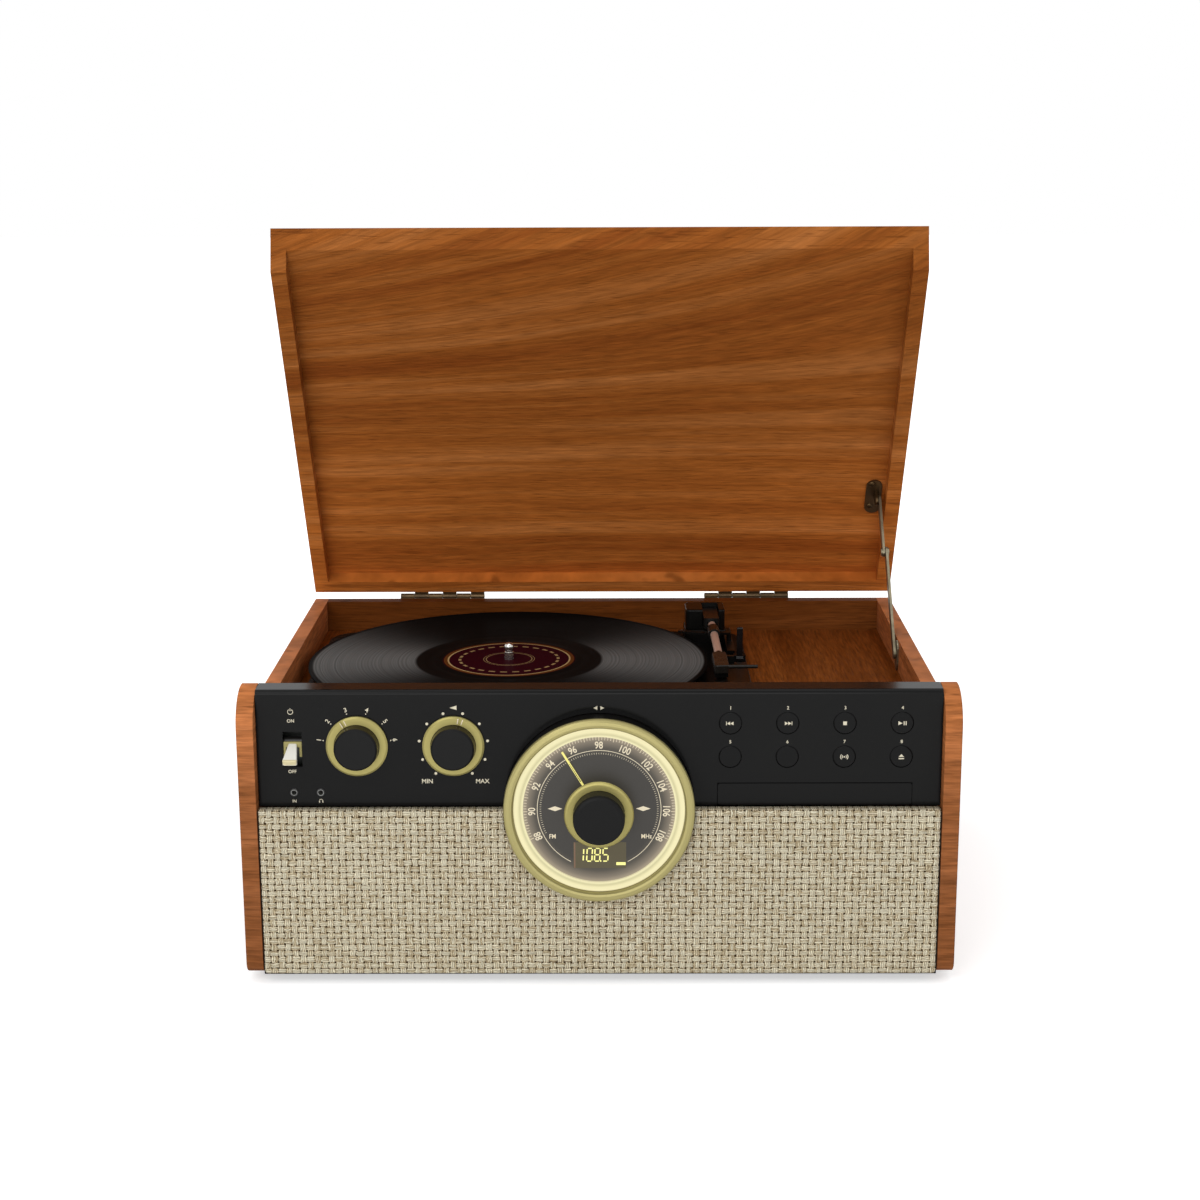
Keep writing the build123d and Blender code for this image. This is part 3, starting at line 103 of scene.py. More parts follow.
class Value:
    """A node socket that takes part in plain sums; each sum adds its Math node."""

    def __init__(self, nodes_of, socket):
        self.nodes_of = nodes_of
        self.socket = socket

    def maths(self, operation, *others):
        return self.nodes_of.node("ShaderNodeMath", {"operation": operation}, (self, *others))

    def __add__(self, other):
        return self.maths("ADD", other)

    def __sub__(self, other):
        return self.maths("SUBTRACT", other)

    def __rsub__(self, other):
        return self.nodes_of.node("ShaderNodeMath", {"operation": "SUBTRACT"}, (other, self))

    def __mul__(self, other):
        return self.maths("MULTIPLY", other)

    def __truediv__(self, other):
        return self.maths("DIVIDE", other)

    def __pow__(self, other):
        return self.maths("POWER", other)

    def __mod__(self, other):
        return self.maths("FLOORED_MODULO", other)

    def __gt__(self, other):
        return self.maths("GREATER_THAN", other)

    def __lt__(self, other):
        return self.maths("LESS_THAN", other)

    __radd__ = __add__
    __rmul__ = __mul__

    def between(self, low, high):
        """One where the value lies between two others, else nought."""
        return (self > low) * (self < high)


class Nodes:
    """Adds nodes to a shader tree or a geometry tree."""

    def __init__(self, tree):
        self.tree = tree

    def node(self, kind, settings=(), inputs=(), output=0):
        """One node: its settings first, then the values or links of its sockets."""
        made = self.tree.nodes.new(kind)
        for setting, value in dict(settings).items():
            if setting == "stops":
                ramp = made.color_ramp
                while len(ramp.elements) < len(value):
                    ramp.elements.new(0.5)
                for element, (spot, colour) in zip(ramp.elements, value):
                    element.position = spot
                    element.color = (*colour, 1.0)
            else:
                setattr(made, setting, value)
        pairs = inputs.items() if isinstance(inputs, dict) else enumerate(inputs)
        for key, value in pairs:
            if isinstance(value, Value):
                self.tree.links.new(value.socket, made.inputs[key])
            else:
                made.inputs[key].default_value = value
        return Value(self, made.outputs[output])

    def split(self, vector):
        """The three parts of a vector."""
        parts = self.node("ShaderNodeSeparateXYZ", {}, [vector]).socket.node
        return [Value(self, socket) for socket in parts.outputs]

    def join(self, x, y, z):
        return self.node("ShaderNodeCombineXYZ", {}, [x, y, z])


# The room is dim for the light that falls on the set, but white wherever it is seen
# straight, mirrored or through glass.
room_level = 0.5
world = bpy.data.worlds.new("room")
world.use_nodes = True
bpy.context.scene.world = world
room = Nodes(world.node_tree)
straight, mirrored, through = (room.node("ShaderNodeLightPath", output=ray) for ray in (
    "Is Camera Ray", "Is Glossy Ray", "Is Transmission Ray"))
seen = straight.maths("MAXIMUM", mirrored).maths("MAXIMUM", through)
background = room.tree.nodes["Background"]
background.inputs["Color"].default_value = (1, 1, 1, 1)
room.tree.links.new((seen * (1.0 - room_level) + room_level).socket, background.inputs["Strength"])

# Floor. A plain pale sheet that keeps the set's shadow; the camera and mirrors see
# it lighter than it is, the more so far from the set, so that it runs into the room.


class Finish(Nodes):
    """One procedural finish round a Principled shader."""

    def __init__(self, name, **constants):
        self.material = bpy.data.materials.new(name)
        self.material.use_nodes = True
        super().__init__(self.material.node_tree)
        self.shader = self.tree.nodes["Principled BSDF"]
        for word, value in constants.items():
            self.socket(word).default_value = value

    def socket(self, word):
        """A socket of the shader, such as Base Color for base_color."""
        return self.shader.inputs[word.replace("_", " ").title().replace("Ior", "IOR")]

    def place(self, turn=(0, 0, 0), scale=(1, 1, 1), shift=(0, 0, 0)):
        """The piece's own coordinates in metres, scaled, turned and shifted."""
        own = self.node("ShaderNodeTexCoord", output="Object")
        return self.node("ShaderNodeMapping", {"vector_type": "POINT"}, {
            "Vector": own, "Rotation": turn, "Scale": scale, "Location": shift})

    def noise(self, vector, scale=1.0, detail=2.0, roughness=0.5, output="Fac"):
        return self.node("ShaderNodeTexNoise", {}, {
            "Vector": vector, "Scale": scale, "Detail": detail, "Roughness": roughness}, output)

    def span(self, value, low, high, to_low=0.0, to_high=1.0, way="SMOOTHSTEP"):
        """Carries a value from one range to another and holds it at the ends."""
        return self.node("ShaderNodeMapRange", {"interpolation_type": way}, [value, low, high, to_low, to_high])

    def mix(self, share, first, second, way="MIX"):
        """Blends two colours."""
        first, second = ((*c, 1.0) if isinstance(c, tuple) else c for c in (first, second))
        return self.node("ShaderNodeMix", {"data_type": "RGBA", "blend_type": way},
                         {0: share, 6: first, 7: second}, 2)

    def ramp(self, value, *stops):
        return self.node("ShaderNodeValToRGB", {"stops": stops}, [value])

    def feed(self, **links):
        """Links values to the shader's own sockets."""
        for word, value in links.items():
            self.tree.links.new(value.socket, self.socket(word))

    def bump(self, height, depth):
        """Feeds the shader's normal from a height of so many metres."""
        self.feed(normal=self.node("ShaderNodeBump", {}, {"Strength": 1.0, "Distance": depth, "Height": height}))

    def cover(self, *names):
        """Puts the finish on CAD pieces."""
        for name in names:
            for slot in nodes[name].material_slots:
                slot.material = self.material


floor_reach = 8.0
floor_mesh = bpy.data.meshes.new("floor")
floor_mesh.from_pydata([(x * floor_reach, y * floor_reach, 0) for x, y in ((-1, -1), (1, -1), (1, 1), (-1, 1))],
                       [], [range(4)])
floor = bpy.data.objects.new("floor", floor_mesh)
bpy.context.scene.collection.objects.link(floor)
pale = Finish("floor_paper", roughness=0.9, specular_ior_level=0.0, emission_strength=1.0)
across, deep, _ = pale.split(pale.place())
flecks = pale.noise(pale.place(), 60.0, 3.0)
pale.feed(base_color=pale.mix(flecks, (0.86, 0.86, 0.86), (0.9, 0.9, 0.9)))
seen_straight = pale.node("ShaderNodeLightPath", output="Is Camera Ray")
seen_mirrored = pale.node("ShaderNodeLightPath", output="Is Glossy Ray")
away = (across * across + deep * deep) ** 0.5
lifted = seen_straight.maths("MAXIMUM", seen_mirrored) * pale.span(away, 0.3, 1.6, 0.5, 1.0)
pale.feed(emission_color=pale.join(lifted, lifted, lifted))
floor_mesh.materials.append(pale.material)

# Cabinet boards: chipboard wrapped in a printed wood film, painted darker inside the box
# as painted shade. Its grain lies level on the upright boards and runs back on the deck, with
# slow bands of colour, fine streaks and short dark pores.


def tint(colour, share, lift=0.0):
    """A colour made darker or paler."""
    return tuple(part * share + lift for part in colour)


def wood(name, dark, middle, light, turn=(0, 0, 0), sweep=0.0, start=0.0, shade=((0.0, 1.0), (1.0, 1.0)),
         rise=0.2, relief=0.2):
    """Wood film whose grain lies across the third axis; shade gives steps of painted light and shade, brighter or
    darker by height up to a rise on it.
    """
    film = Finish(name, specular_ior_level=0.02)
    x, y, z = film.split(film.place(turn=turn))

    def grain(along, over, detail=2.0, roughness=0.5):
        """Noise drawn out along the grain, with so many changes to the metre."""
        return film.noise(film.join(x * along, y * along, over), 1.0, detail, roughness)

    wander = grain(2.2, z * 5.0 + start) - 0.5
    line = z + wander * 0.03
    if sweep:
        lift = film.span(z, 0.2, 0.42)
        line = line - x * lift * sweep - wander * lift * 0.06
    bands = grain(1.4, line * 34.0 + start, 3.0, 0.55)
    rings = grain(2.5, line * 150.0 + start)
    streaks = grain(22.0, line * 900.0, 3.0, 0.6)
    figure = grain(45.0, line * 480.0 + wander * 3.0, 2.0, 0.55)
    pores = film.span(grain(48.0, z * 1250.0, 1.0), 0.6, 0.72)
    tone = film.ramp(film.span(bands + (rings - 0.5) * 0.4, 0.3, 0.7, way="LINEAR"),
                     (0.0, dark), (0.5, middle), (1.0, light))
    # painted light: the colour is made brighter or darker by height, step by step as shade says
    depth = film.ramp(z / rise, *[(spot, (value / 2,) * 3) for spot, value in shade]) * 2.0
    grain_and_painted_light = film.span(streaks, 0.3, 0.7, 0.84, 1.14, "LINEAR") * film.span(
        figure, 0.3, 0.7, 1.0 - relief, 1.0 + relief * 0.7, "LINEAR") * depth
    tone = film.mix(1.0, tone, film.join(grain_and_painted_light, grain_and_painted_light, grain_and_painted_light), "MULTIPLY")
    tone = film.mix(pores * 0.45, tone, tint(dark, 0.45))
    film.feed(base_color=tone, roughness=streaks * 0.16 + 0.4)
    film.bump(streaks + figure * 2.0 - pores * 0.8, 0.00012)
    return film


# The cheeks' shade steps paint light on their upper part, brightest at the rounded top.
cheek_wood = wood("cheek_wood", (0.24, 0.08, 0.024), (0.33, 0.114, 0.038), (0.42, 0.152, 0.056), relief=0.3,
                  shade=((0.0, 0.72), (0.35, 0.8), (0.7, 0.95), (0.92, 1.5), (1.0, 1.7)))
# Painted shade: the box and deck take darker copies of the film for the shade inside the box.
box_wood = wood("box_wood", (0.095, 0.025, 0.004), (0.145, 0.04, 0.007), (0.2, 0.06, 0.013), start=3.1)
deck_wood = wood("deck_wood", (0.135, 0.036, 0.006), (0.19, 0.053, 0.0095), (0.245, 0.076, 0.016),
                 turn=(0, pi / 2, 0), start=5.3, relief=0.35)
cheek_wood.cover("side_panel_left", "side_panel_right")
box_wood.cover("back_panel", "front_rail")
deck_wood.cover("deck_board")

# Bottom and speaker boards: bare chipboard painted matt black, with the pressed chips
# showing through. The one closes the box from below, the other carries the cloth.
chipboard = Finish("black_chipboard", specular_ior_level=0.2)
chips = chipboard.node("ShaderNodeTexVoronoi", {}, {"Vector": chipboard.place(), "Scale": 260.0}, "Distance")
dust = chipboard.noise(chipboard.place(), 900.0, 3.0)
chipboard.feed(base_color=chipboard.mix(dust, (0.006, 0.0055, 0.005), (0.022, 0.019, 0.016)),
               roughness=chips * 0.3 + 0.6)
chipboard.bump(chips, 0.0003)
chipboard.cover("bottom_panel", "baffle_board")

# Lid: the same film on a flat board and its two side rails, front rail and rear rail,
# held open by the stay. The film's figure sweeps upwards on the upper half.
lid_turn = next(joint for joint in frame["joints"] if joint["name"] == "lid_turn")
lid_open = radians(lid_turn["range_deg"][1])
# The lid's shade steps paint light on its lower part, brightest at its lower end.
lid_wood = wood("lid_wood", (0.2, 0.051, 0.0085), (0.27, 0.081, 0.0145), (0.345, 0.12, 0.03),
                turn=(lid_open - pi / 2, 0, 0), sweep=0.3, start=1.7, rise=0.42,
                shade=((0.12, 1.95), (0.35, 1.7), (0.55, 1.18), (0.8, 1.02), (1.0, 1.08)))
lid_wood.cover("lid_board", "lid_rails")

# Hinges: pressed brass leaves with rolled knuckles round a steel pin, dulled with age,
# and held by countersunk cross-head screws in the rear of the box and of the lid.


def at(x, depth, height):
    """A point in millimetres: across, behind the front plane and over the underside."""
    return Vector((x / 1000, front_y + depth / 1000, foot_top + height / 1000))


def brushed(name, colour, rough, stretch=(40.0, 40.0, 2500.0), tarnish=None, metallic=0.9):
    """Rolled or brushed metal with fine lines, slow tarnish and small scratches."""
    metal = Finish(name)
    own = metal.place()
    x, y, z = metal.split(own)
    lines = metal.noise(metal.join(x * stretch[0], y * stretch[1], z * stretch[2]), 1.0, 3.0, 0.6)
    stain = metal.span(metal.noise(own, 70.0, 4.0, 0.6), 0.35, 0.7)
    bright = metal.mix(lines, tint(colour, 0.82), tint(colour, 1.15))
    metal.feed(base_color=metal.mix(stain * 0.7, bright, tarnish or tint(colour, 0.7)),
               roughness=stain * 0.12 + lines * 0.14 + (rough - 0.1),
               metallic=metallic - stain * 0.15)
    metal.bump(lines, 0.00003)
    return metal


def piece(name, mesh, body, finish, slot, *replaced, smooth=False):
    """Makes a finished mesh into a piece that rides on a body."""
    made = bpy.data.objects.new(name, mesh)
    bpy.context.scene.collection.objects.link(made)
    mesh.materials.clear()
    mesh.materials.append(finish.material)
    for face in mesh.polygons:
        face.use_smooth = smooth
        face.material_index = 0
    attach(made, body)
    if replaced:
        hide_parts(*replaced)
    return made


class Pattern(Nodes):
    """A geometry tree that repeats one shape; its sizes are the tree's named inputs."""

    def __init__(self, name, **sizes):
        tree = bpy.data.node_groups.new(name, "GeometryNodeTree")
        super().__init__(tree)
        tree.interface.new_socket("Geometry", in_out="INPUT", socket_type="NodeSocketGeometry")
        for size, value in sizes.items():
            kind = "NodeSocketInt" if isinstance(value, int) else "NodeSocketFloat"
            socket = tree.interface.new_socket(size, in_out="INPUT", socket_type=kind)
            socket.default_value = value
        tree.interface.new_socket("Geometry", in_out="OUTPUT", socket_type="NodeSocketGeometry")
        self.start = tree.nodes.new("NodeGroupInput")

    def size(self, name):
        return Value(self, self.start.outputs[name])

    def end(self, geometry, finish):
        """Makes the copies real and sets their finish."""
        real = self.node("GeometryNodeRealizeInstances", {}, [geometry])
        coated = self.node("GeometryNodeSetMaterial", {}, {"Geometry": real, "Material": finish.material})
        self.tree.links.new(coated.socket, self.tree.nodes.new("NodeGroupOutput").inputs[0])

    def bake(self, name, mesh, **sizes):
        """Runs the tree over a mesh with the given sizes and gives back the plain mesh."""
        carrier = bpy.data.objects.new(name, mesh)
        bpy.context.scene.collection.objects.link(carrier)
        modifier = carrier.modifiers.new("pattern", "NODES")
        modifier.node_group = self.tree
        for item in self.tree.interface.items_tree:
            if item.in_out == "INPUT" and item.name in sizes:
                modifier[item.identifier] = sizes[item.name]
        graph = bpy.context.evaluated_depsgraph_get()
        baked = bpy.data.meshes.new_from_object(carrier.evaluated_get(graph), depsgraph=graph)
        bpy.data.objects.remove(carrier)
        return baked


def screw_head():
    """A low domed screw head one metre across, with a cross recess, its base at the origin."""
    head = bmesh.new()
    arm, reach = 0.07, 0.27
    cross = [(reach, arm), (arm, arm), (arm, reach)]
    cross += [(-x, y) for x, y in cross[::-1]]
    cross += [(x, -y) for x, y in cross[::-1]]
    loops = []
    for radius, rise in ((0.5, 0.0), (0.49, 0.06), (0.4, 0.15), (None, 0.19), (None, 0.05)):
        loop = []
        for x, y in cross:
            turn = atan2(y, x)
            spot = (x, y) if radius is None else (radius * cos(turn), radius * sin(turn))
            loop.append(head.verts.new((*spot, rise)))
        loops.append(loop)
    for lower, upper in zip(loops, loops[1:]):
        for k in range(len(cross)):
            after = (k + 1) % len(cross)
            head.faces.new((lower[k], lower[after], upper[after], upper[k]))
    head.faces.new(loops[-1])
    head.faces.new(loops[0][::-1])
    bmesh.ops.recalc_face_normals(head, faces=head.faces[:])
    mesh = bpy.data.meshes.new("screw_head")
    head.to_mesh(mesh)
    head.free()
    return mesh


def screw_pattern(finish):
    """Screw heads on the points of a mesh, each turned its own way."""
    pattern = Pattern("screw_pattern", **{"Head Width": 0.005, "Turn Seed": 7})
    head = bpy.data.objects.new("screw_head", screw_head())
    bpy.context.scene.collection.objects.link(head)
    shape = pattern.node("GeometryNodeObjectInfo", {}, {"Object": head}, "Geometry")
    facing = pattern.node("GeometryNodeInputNamedAttribute", {"data_type": "FLOAT_VECTOR"}, {"Name": "facing"})
    spin = pattern.node("FunctionNodeRandomValue", {"data_type": "FLOAT"}, {
        2: 0.0, 3: tau, "Seed": pattern.size("Turn Seed")}, 1)
    upright = pattern.node("FunctionNodeAlignRotationToVector", {"axis": "Z"}, {"Vector": facing})
    spun = pattern.node("FunctionNodeEulerToRotation", {}, [pattern.join(0.0, 0.0, spin)])
    turn = pattern.node("FunctionNodeRotateRotation", {"rotation_space": "LOCAL"}, [upright, spun])
    width = pattern.size("Head Width")
    copies = pattern.node("GeometryNodeInstanceOnPoints", {}, {
        "Points": pattern.size("Geometry"), "Instance": shape, "Rotation": turn,
        "Scale": pattern.join(width, width, width)})
    pattern.end(copies, finish)
    return pattern, head


def screws(name, body, width, seed, places, metal=None):
    """A set of screws, so wide in millimetres, at places that each have the way the head faces."""
    mesh = bpy.data.meshes.new(name)
    mesh.from_pydata([spot for spot, way in places], [], [])
    facing = mesh.attributes.new("facing", "FLOAT_VECTOR", "POINT")
    for entry, (spot, way) in zip(facing.data, places):
        entry.vector = way
    baked = screw_set.bake(name, mesh, **{"Head Width": width / 1000, "Turn Seed": seed})
    piece(name, baked, body, metal or screw_steel, "aged_brass")


pin_depth, pin_height = 378.6, 173.5  # the hinge pin


def lid_at(x, back, up):
    """A point on the open lid, from the hinge pin: back along the closed lid and up from it."""
    return at(x, pin_depth + back * cos(lid_open) + up * sin(lid_open),
              pin_height - back * sin(lid_open) + up * cos(lid_open))


lid_back = Vector((0, cos(lid_open), -sin(lid_open)))
lid_up = Vector((0, sin(lid_open), cos(lid_open)))
aged_brass = brushed("aged_brass", (0.13, 0.085, 0.042), 0.42, tarnish=(0.055, 0.035, 0.016), metallic=0.8)
screw_steel = brushed("screw_steel", (0.32, 0.27, 0.18), 0.4, (900.0, 900.0, 900.0), tarnish=(0.12, 0.09, 0.05))
screw_set, screw_model = screw_pattern(screw_steel)
hinge_screw_xs = [middle + step for middle in (-133.0, 120.0) for step in (-26.0, -8.7, 8.7, 26.0)]
box_leaf_back, box_leaf_height = 376.35, 160.5
lid_leaf_back, lid_leaf_rise = -2.25, 13.0
small_screw = 4.6
screws("hinge_box_screws", "cabinet", small_screw, 3,
       [(at(x, box_leaf_back, box_leaf_height), (0, 1, 0)) for x in hinge_screw_xs])
screws("hinge_lid_screws", "lid", small_screw, 5,
       [(lid_at(x, lid_leaf_back, lid_leaf_rise), lid_back) for x in hinge_screw_xs])
aged_brass.cover("hinge_box_leaves", "hinge_lid_leaves", "hinge_pins")

# Lid stay: two riveted steel arms that fold at an elbow, a bracket on the side panel
# and a dark plate under the lid with two screws.
stay_steel = brushed("stay_steel", (0.25, 0.22, 0.15), 0.36, tarnish=(0.12, 0.1, 0.06))
stay_brass = brushed("stay_brass", (0.1, 0.06, 0.025), 0.4, tarnish=(0.05, 0.03, 0.012))
stay_steel.cover("stay_upper_arm", "stay_lower_arm", "stay_wall_bracket")
stay_brass.cover("stay_lid_plate")
plate_x, plate_back, plate_face, plate_screw_step = 216.4, -101.0, 10.98, 11.5
screws("stay_plate_screws", "lid", 5.2, 11,
       [(lid_at(plate_x, plate_back + side * plate_screw_step, plate_face), -lid_up) for side in (-1, 1)], stay_brass)

# Feet: four round pads of black rubber under the corners of the bottom board, which
# keep the set from sliding.
foot_rubber = Finish("foot_rubber", specular_ior_level=0.3)
rubber_grain = foot_rubber.noise(foot_rubber.place(), 1400.0, 3.0)
foot_rubber.feed(base_color=foot_rubber.mix(rubber_grain, (0.012, 0.012, 0.012), (0.03, 0.029, 0.028)),
                 roughness=rubber_grain * 0.2 + 0.62)
foot_rubber.bump(rubber_grain, 0.00008)
foot_rubber.cover("feet")

# Grille: basket-weave cloth of bundled cream and brown threads, stretched over the
# speaker board, turned back round its edges and round the notch under the dial.
bundle_across, bundle_up = 4.85, 4.35
cloth_half, cloth_low, cloth_high, cloth_back = 226.9, 0.2, 116.4, 9.6
cloth_wrap = cloth_back - 0.6
cloth_face, cloth_foremost, cloth_skin, weave_rise = 1.0, 0.1, 0.35, 0.42
notch_middle, notch_radius = 118.0, 63.45
cloth_corner, cloth_turn = 4.0, 1.1
weave_steps = 4


def thread_places(count, step, slack, seed):
    """Places of the bundle edges along one side: an even step with a little wander."""
    wander = random.Random(seed)
    return [k * step + wander.uniform(-slack, slack) for k in range(count + 2)]


def weave_height(u, v):
    """How far the upper bundle stands out at a place counted in bundles."""
    along, over = u % 1.0, v % 1.0
    if (int(u) + int(v)) % 2:
        along, over = over, along
    return (0.2 + 0.8 * sin(pi * along)) * (1.0 - 0.55 * (2.0 * over - 1.0) ** 2)


def cloth_edge_distance(x, z):
    """How far a place lies from the cloth's nearest edge."""
    return min(cloth_half - abs(x), z - cloth_low, cloth_high - z,
               hypot(x, z - notch_middle) - notch_radius)


def grille_mesh():
    """The stretched cloth, its outline cut to the opening, and its flat area in square metres."""
    columns, rows = round(2 * cloth_half / bundle_across), round((cloth_high - cloth_low) / bundle_up)
    side = thread_places(columns, 2 * cloth_half / columns, 0.22, 4)
    rise = thread_places(rows, (cloth_high - cloth_low) / rows, 0.2, 9)
    side[0], side[columns], rise[0], rise[rows] = 0.0, 2 * cloth_half, 0.0, cloth_high - cloth_low
    cloth = bmesh.new()
    count = cloth.loops.layers.uv.new("bundles")
    grid, spots = [], {}
    for row in range(rows * weave_steps + 1):
        line = []
        v, part_v = divmod(row, weave_steps)
        z = cloth_low + rise[v] + (rise[v + 1] - rise[v]) * part_v / weave_steps
        for column in range(columns * weave_steps + 1):
            u, part_u = divmod(column, weave_steps)
            x = side[u] + (side[u + 1] - side[u]) * part_u / weave_steps - cloth_half
            spot = cloth.verts.new((x, 0.0, z))
            spots[spot] = (u + part_u / weave_steps, v + part_v / weave_steps)
            line.append(spot)
        grid.append(line)
    faces = [cloth.faces.new((grid[r][c], grid[r][c + 1], grid[r + 1][c + 1], grid[r + 1][c]))
             for r in range(rows * weave_steps) for c in range(columns * weave_steps)]

    def outside(spot):
        """Where a point beyond the dial's notch or a lower corner belongs on it; None for a point inside."""
        x, z = spot.co.x, spot.co.z
        away = hypot(x, z - notch_middle)
        if away < notch_radius:
            return (x * notch_radius / away, notch_middle + (z - notch_middle) * notch_radius / away)
        side_in, up_in = cloth_half - cloth_corner, cloth_low + cloth_corner
        if abs(x) > side_in and z < up_in:
            reach = hypot(abs(x) - side_in, z - up_in)
            if reach > cloth_corner:
                share = cloth_corner / reach
                return ((side_in + (abs(x) - side_in) * share) * (1 if x > 0 else -1), up_in + (z - up_in) * share)
        return None

    moved = {spot: outside(spot) for spot in cloth.verts}
    bmesh.ops.delete(cloth, geom=[f for f in faces if all(moved[spot] for spot in f.verts)], context="FACES")
    for spot in cloth.verts:
        if moved[spot]:
            spot.co.x, spot.co.z = moved[spot]
    for face in cloth.faces:
        for corner in face.loops:
            corner[count].uv = spots[corner.vert]
    rim = [edge for edge in cloth.edges if edge.is_boundary]
    flat_area = sum(face.calc_area() for face in cloth.faces) + sum(edge.calc_length() for edge in rim) * cloth_wrap
    for spot in cloth.verts:
        depth = cloth_face - weave_rise * 2 * weave_height(*spots[spot])
        edge = max(cloth_edge_distance(spot.co.x, spot.co.z), 0.0)
        if edge < cloth_turn:
            depth += cloth_turn - (cloth_turn ** 2 - (cloth_turn - edge) ** 2) ** 0.5
        spot.co.y = max(depth, cloth_foremost)
    turned_back = bmesh.ops.extrude_edge_only(cloth, edges=rim)["geom"]
    for spot in (item for item in turned_back if isinstance(item, bmesh.types.BMVert)):
        spot.co.y = cloth_back
    for face in (item for item in turned_back if isinstance(item, bmesh.types.BMFace)):
        for corner in face.loops:
            if corner.vert.co.y > cloth_back - 0.01:
                mate = next(e.other_vert(corner.vert) for e in corner.vert.link_edges
                            if e.other_vert(corner.vert) in spots)
                corner[count].uv = (spots[mate][0], spots[mate][1] + cloth_wrap / bundle_up)
            else:
                corner[count].uv = spots[corner.vert]
    bmesh.ops.recalc_face_normals(cloth, faces=cloth.faces[:])
    middle = min(cloth.faces, key=lambda f: hypot(f.calc_center_median().x - 150, f.calc_center_median().z - 50))
    if middle.normal.y > 0:
        bmesh.ops.reverse_faces(cloth, faces=cloth.faces[:])
    cloth.transform(Matrix.Translation(at(0, 0, 0)) @ Matrix.Scale(0.001, 4))
    mesh = bpy.data.meshes.new("grille_weave")
    cloth.to_mesh(mesh)
    cloth.free()
    return mesh, flat_area / 1e6


def grille_finish():
    """Bundles of three twisted threads, each its own shade, that dive under the crossing ones; the colour paints a
    highlight along each thread and shade where a bundle dives.
    """
    cloth = Finish("grille_cloth", roughness=0.88, specular_ior_level=0.15)
    counted = cloth.node("ShaderNodeUVMap", {"uv_map": "bundles"})
    bent = cloth.noise(counted, 1.3, 2.0, 0.5, "Color")
    u, v, _ = cloth.split(counted)
    bend_u, bend_v, _ = cloth.split(bent)
    u, v = u + (bend_u - 0.5) * 0.45, v + (bend_v - 0.5) * 0.45
    column, row = u.maths("FLOOR"), v.maths("FLOOR")
    crossed = (column + row) % 2.0
    part_u, part_v = u.maths("FRACT"), v.maths("FRACT")
    along = part_u + (part_v - part_u) * crossed
    over = part_v + (part_u - part_v) * crossed
    lane = row + (column - row) * crossed
    side_lane = column + (row - column) * crossed

    def bundle(across, length, number, way):
        """Light on the threads of one bundle, from its ridges, its twist and its own shade."""
        bundle_gap, threads = 0.12, 3.95
        thread = (across - bundle_gap) * threads
        ply, strand = thread.maths("FLOOR"), thread.maths("FRACT")
        shade_of = cloth.node("ShaderNodeTexWhiteNoise", {"noise_dimensions": "3D"},
                              [cloth.join(number * 3.0 + ply, way * 17.0, (column + row) * 0.37)], "Value")
        twisted = cloth.join(length * 4.0 + strand * 2.0 + number, thread * 2.0, shade_of * 9.0)
        twist = cloth.noise(twisted, 1.7, 3.0, 0.6)
        ridge = 1.0 - (strand * 2.0 - 1.0) ** 2.0
        return (ridge * 0.75 + 0.25) * (shade_of * 0.7 + 0.5) * (twist * 1.7 + 0.2)

    from_middle = (over - 0.5).maths("ABSOLUTE")
    from_centre = (along - 0.5).maths("ABSOLUTE")
    upper = cloth.span(from_middle, 0.34, 0.4, 1.0, 0.0)
    beside = cloth.span(from_centre, 0.33, 0.39, 1.0, 0.0) * (1.0 - upper)
    # painted shade: a bundle darkens towards its ends, where it dives under the crossing one
    bow = 1.0 - from_centre * 0.5
    # the crossing bundle, seen where it dives, is painted at half light as painted shade
    lit = bundle(over, along, lane, crossed) * upper * bow + bundle(
        along, over, side_lane, 1.0 - crossed) * beside * 0.5
    # the ramp turns this painted light into colour, dark brown in the shade to cream in the highlights
    cloth.feed(base_color=cloth.ramp(lit, (0.0, (0.05, 0.032, 0.014)), (0.22, (0.18, 0.125, 0.062)),
                                     (0.42, (0.59, 0.48, 0.3)), (0.7, (1.0, 0.93, 0.72))))
    cloth.bump(lit, 0.0009)
    return cloth


grille_shape, grille_area = grille_mesh()
grille = piece("grille_weave", grille_shape, "cabinet", grille_finish(), "grille_fabric", "grille_cloth", smooth=True)
skin = grille.modifiers.new("thickness", "SOLIDIFY")
skin.thickness = cloth_skin / 1000
skin.offset = -1.0

# Loudspeakers: pressed steel baskets with pleated paper cones and ring magnets,
# screwed behind the board; only seen with the cloth off.


def around(film, x, depth, height):
    """Coordinates in metres from a place in millimetres: across, back, up."""
    return film.split(film.place(shift=-at(x, depth, height)))


def from_axis(film, x, depth, height, upright=False):
    """Metres from an axis through a place, which points at the viewer or stands upright."""
    across, back, up = around(film, x, depth, height)
    other = back if upright else up
    return (across * across + other * other) ** 0.5


speaker_height = 62
speaker_finish = Finish("speaker_parts", specular_ior_level=0.3)
x, y, z = around(speaker_finish, 0, 0, speaker_height)
from_middle = x.maths("ABSOLUTE") - 0.15
ripple = (from_middle * from_middle + z * z) ** 0.5
paper = speaker_finish.noise(speaker_finish.place(), 700.0, 4.0)
steel_share = speaker_finish.span(y, 0.03, 0.034)
speaker_finish.feed(base_color=speaker_finish.mix(steel_share, speaker_finish.mix(
    paper, (0.012, 0.011, 0.011), (0.05, 0.045, 0.04)), (0.3, 0.3, 0.29)),
    roughness=paper * 0.2 + 0.55, metallic=steel_share * 0.8)
speaker_finish.bump((ripple * 2600.0).maths("SINE") + paper, 0.0002)
speaker_finish.cover("speakers")

# Turntable deck: a moulded satin black plate with a fine sand texture, sunk in the
# deck board; the platter is pressed aluminium with a ribbed rubber mat.


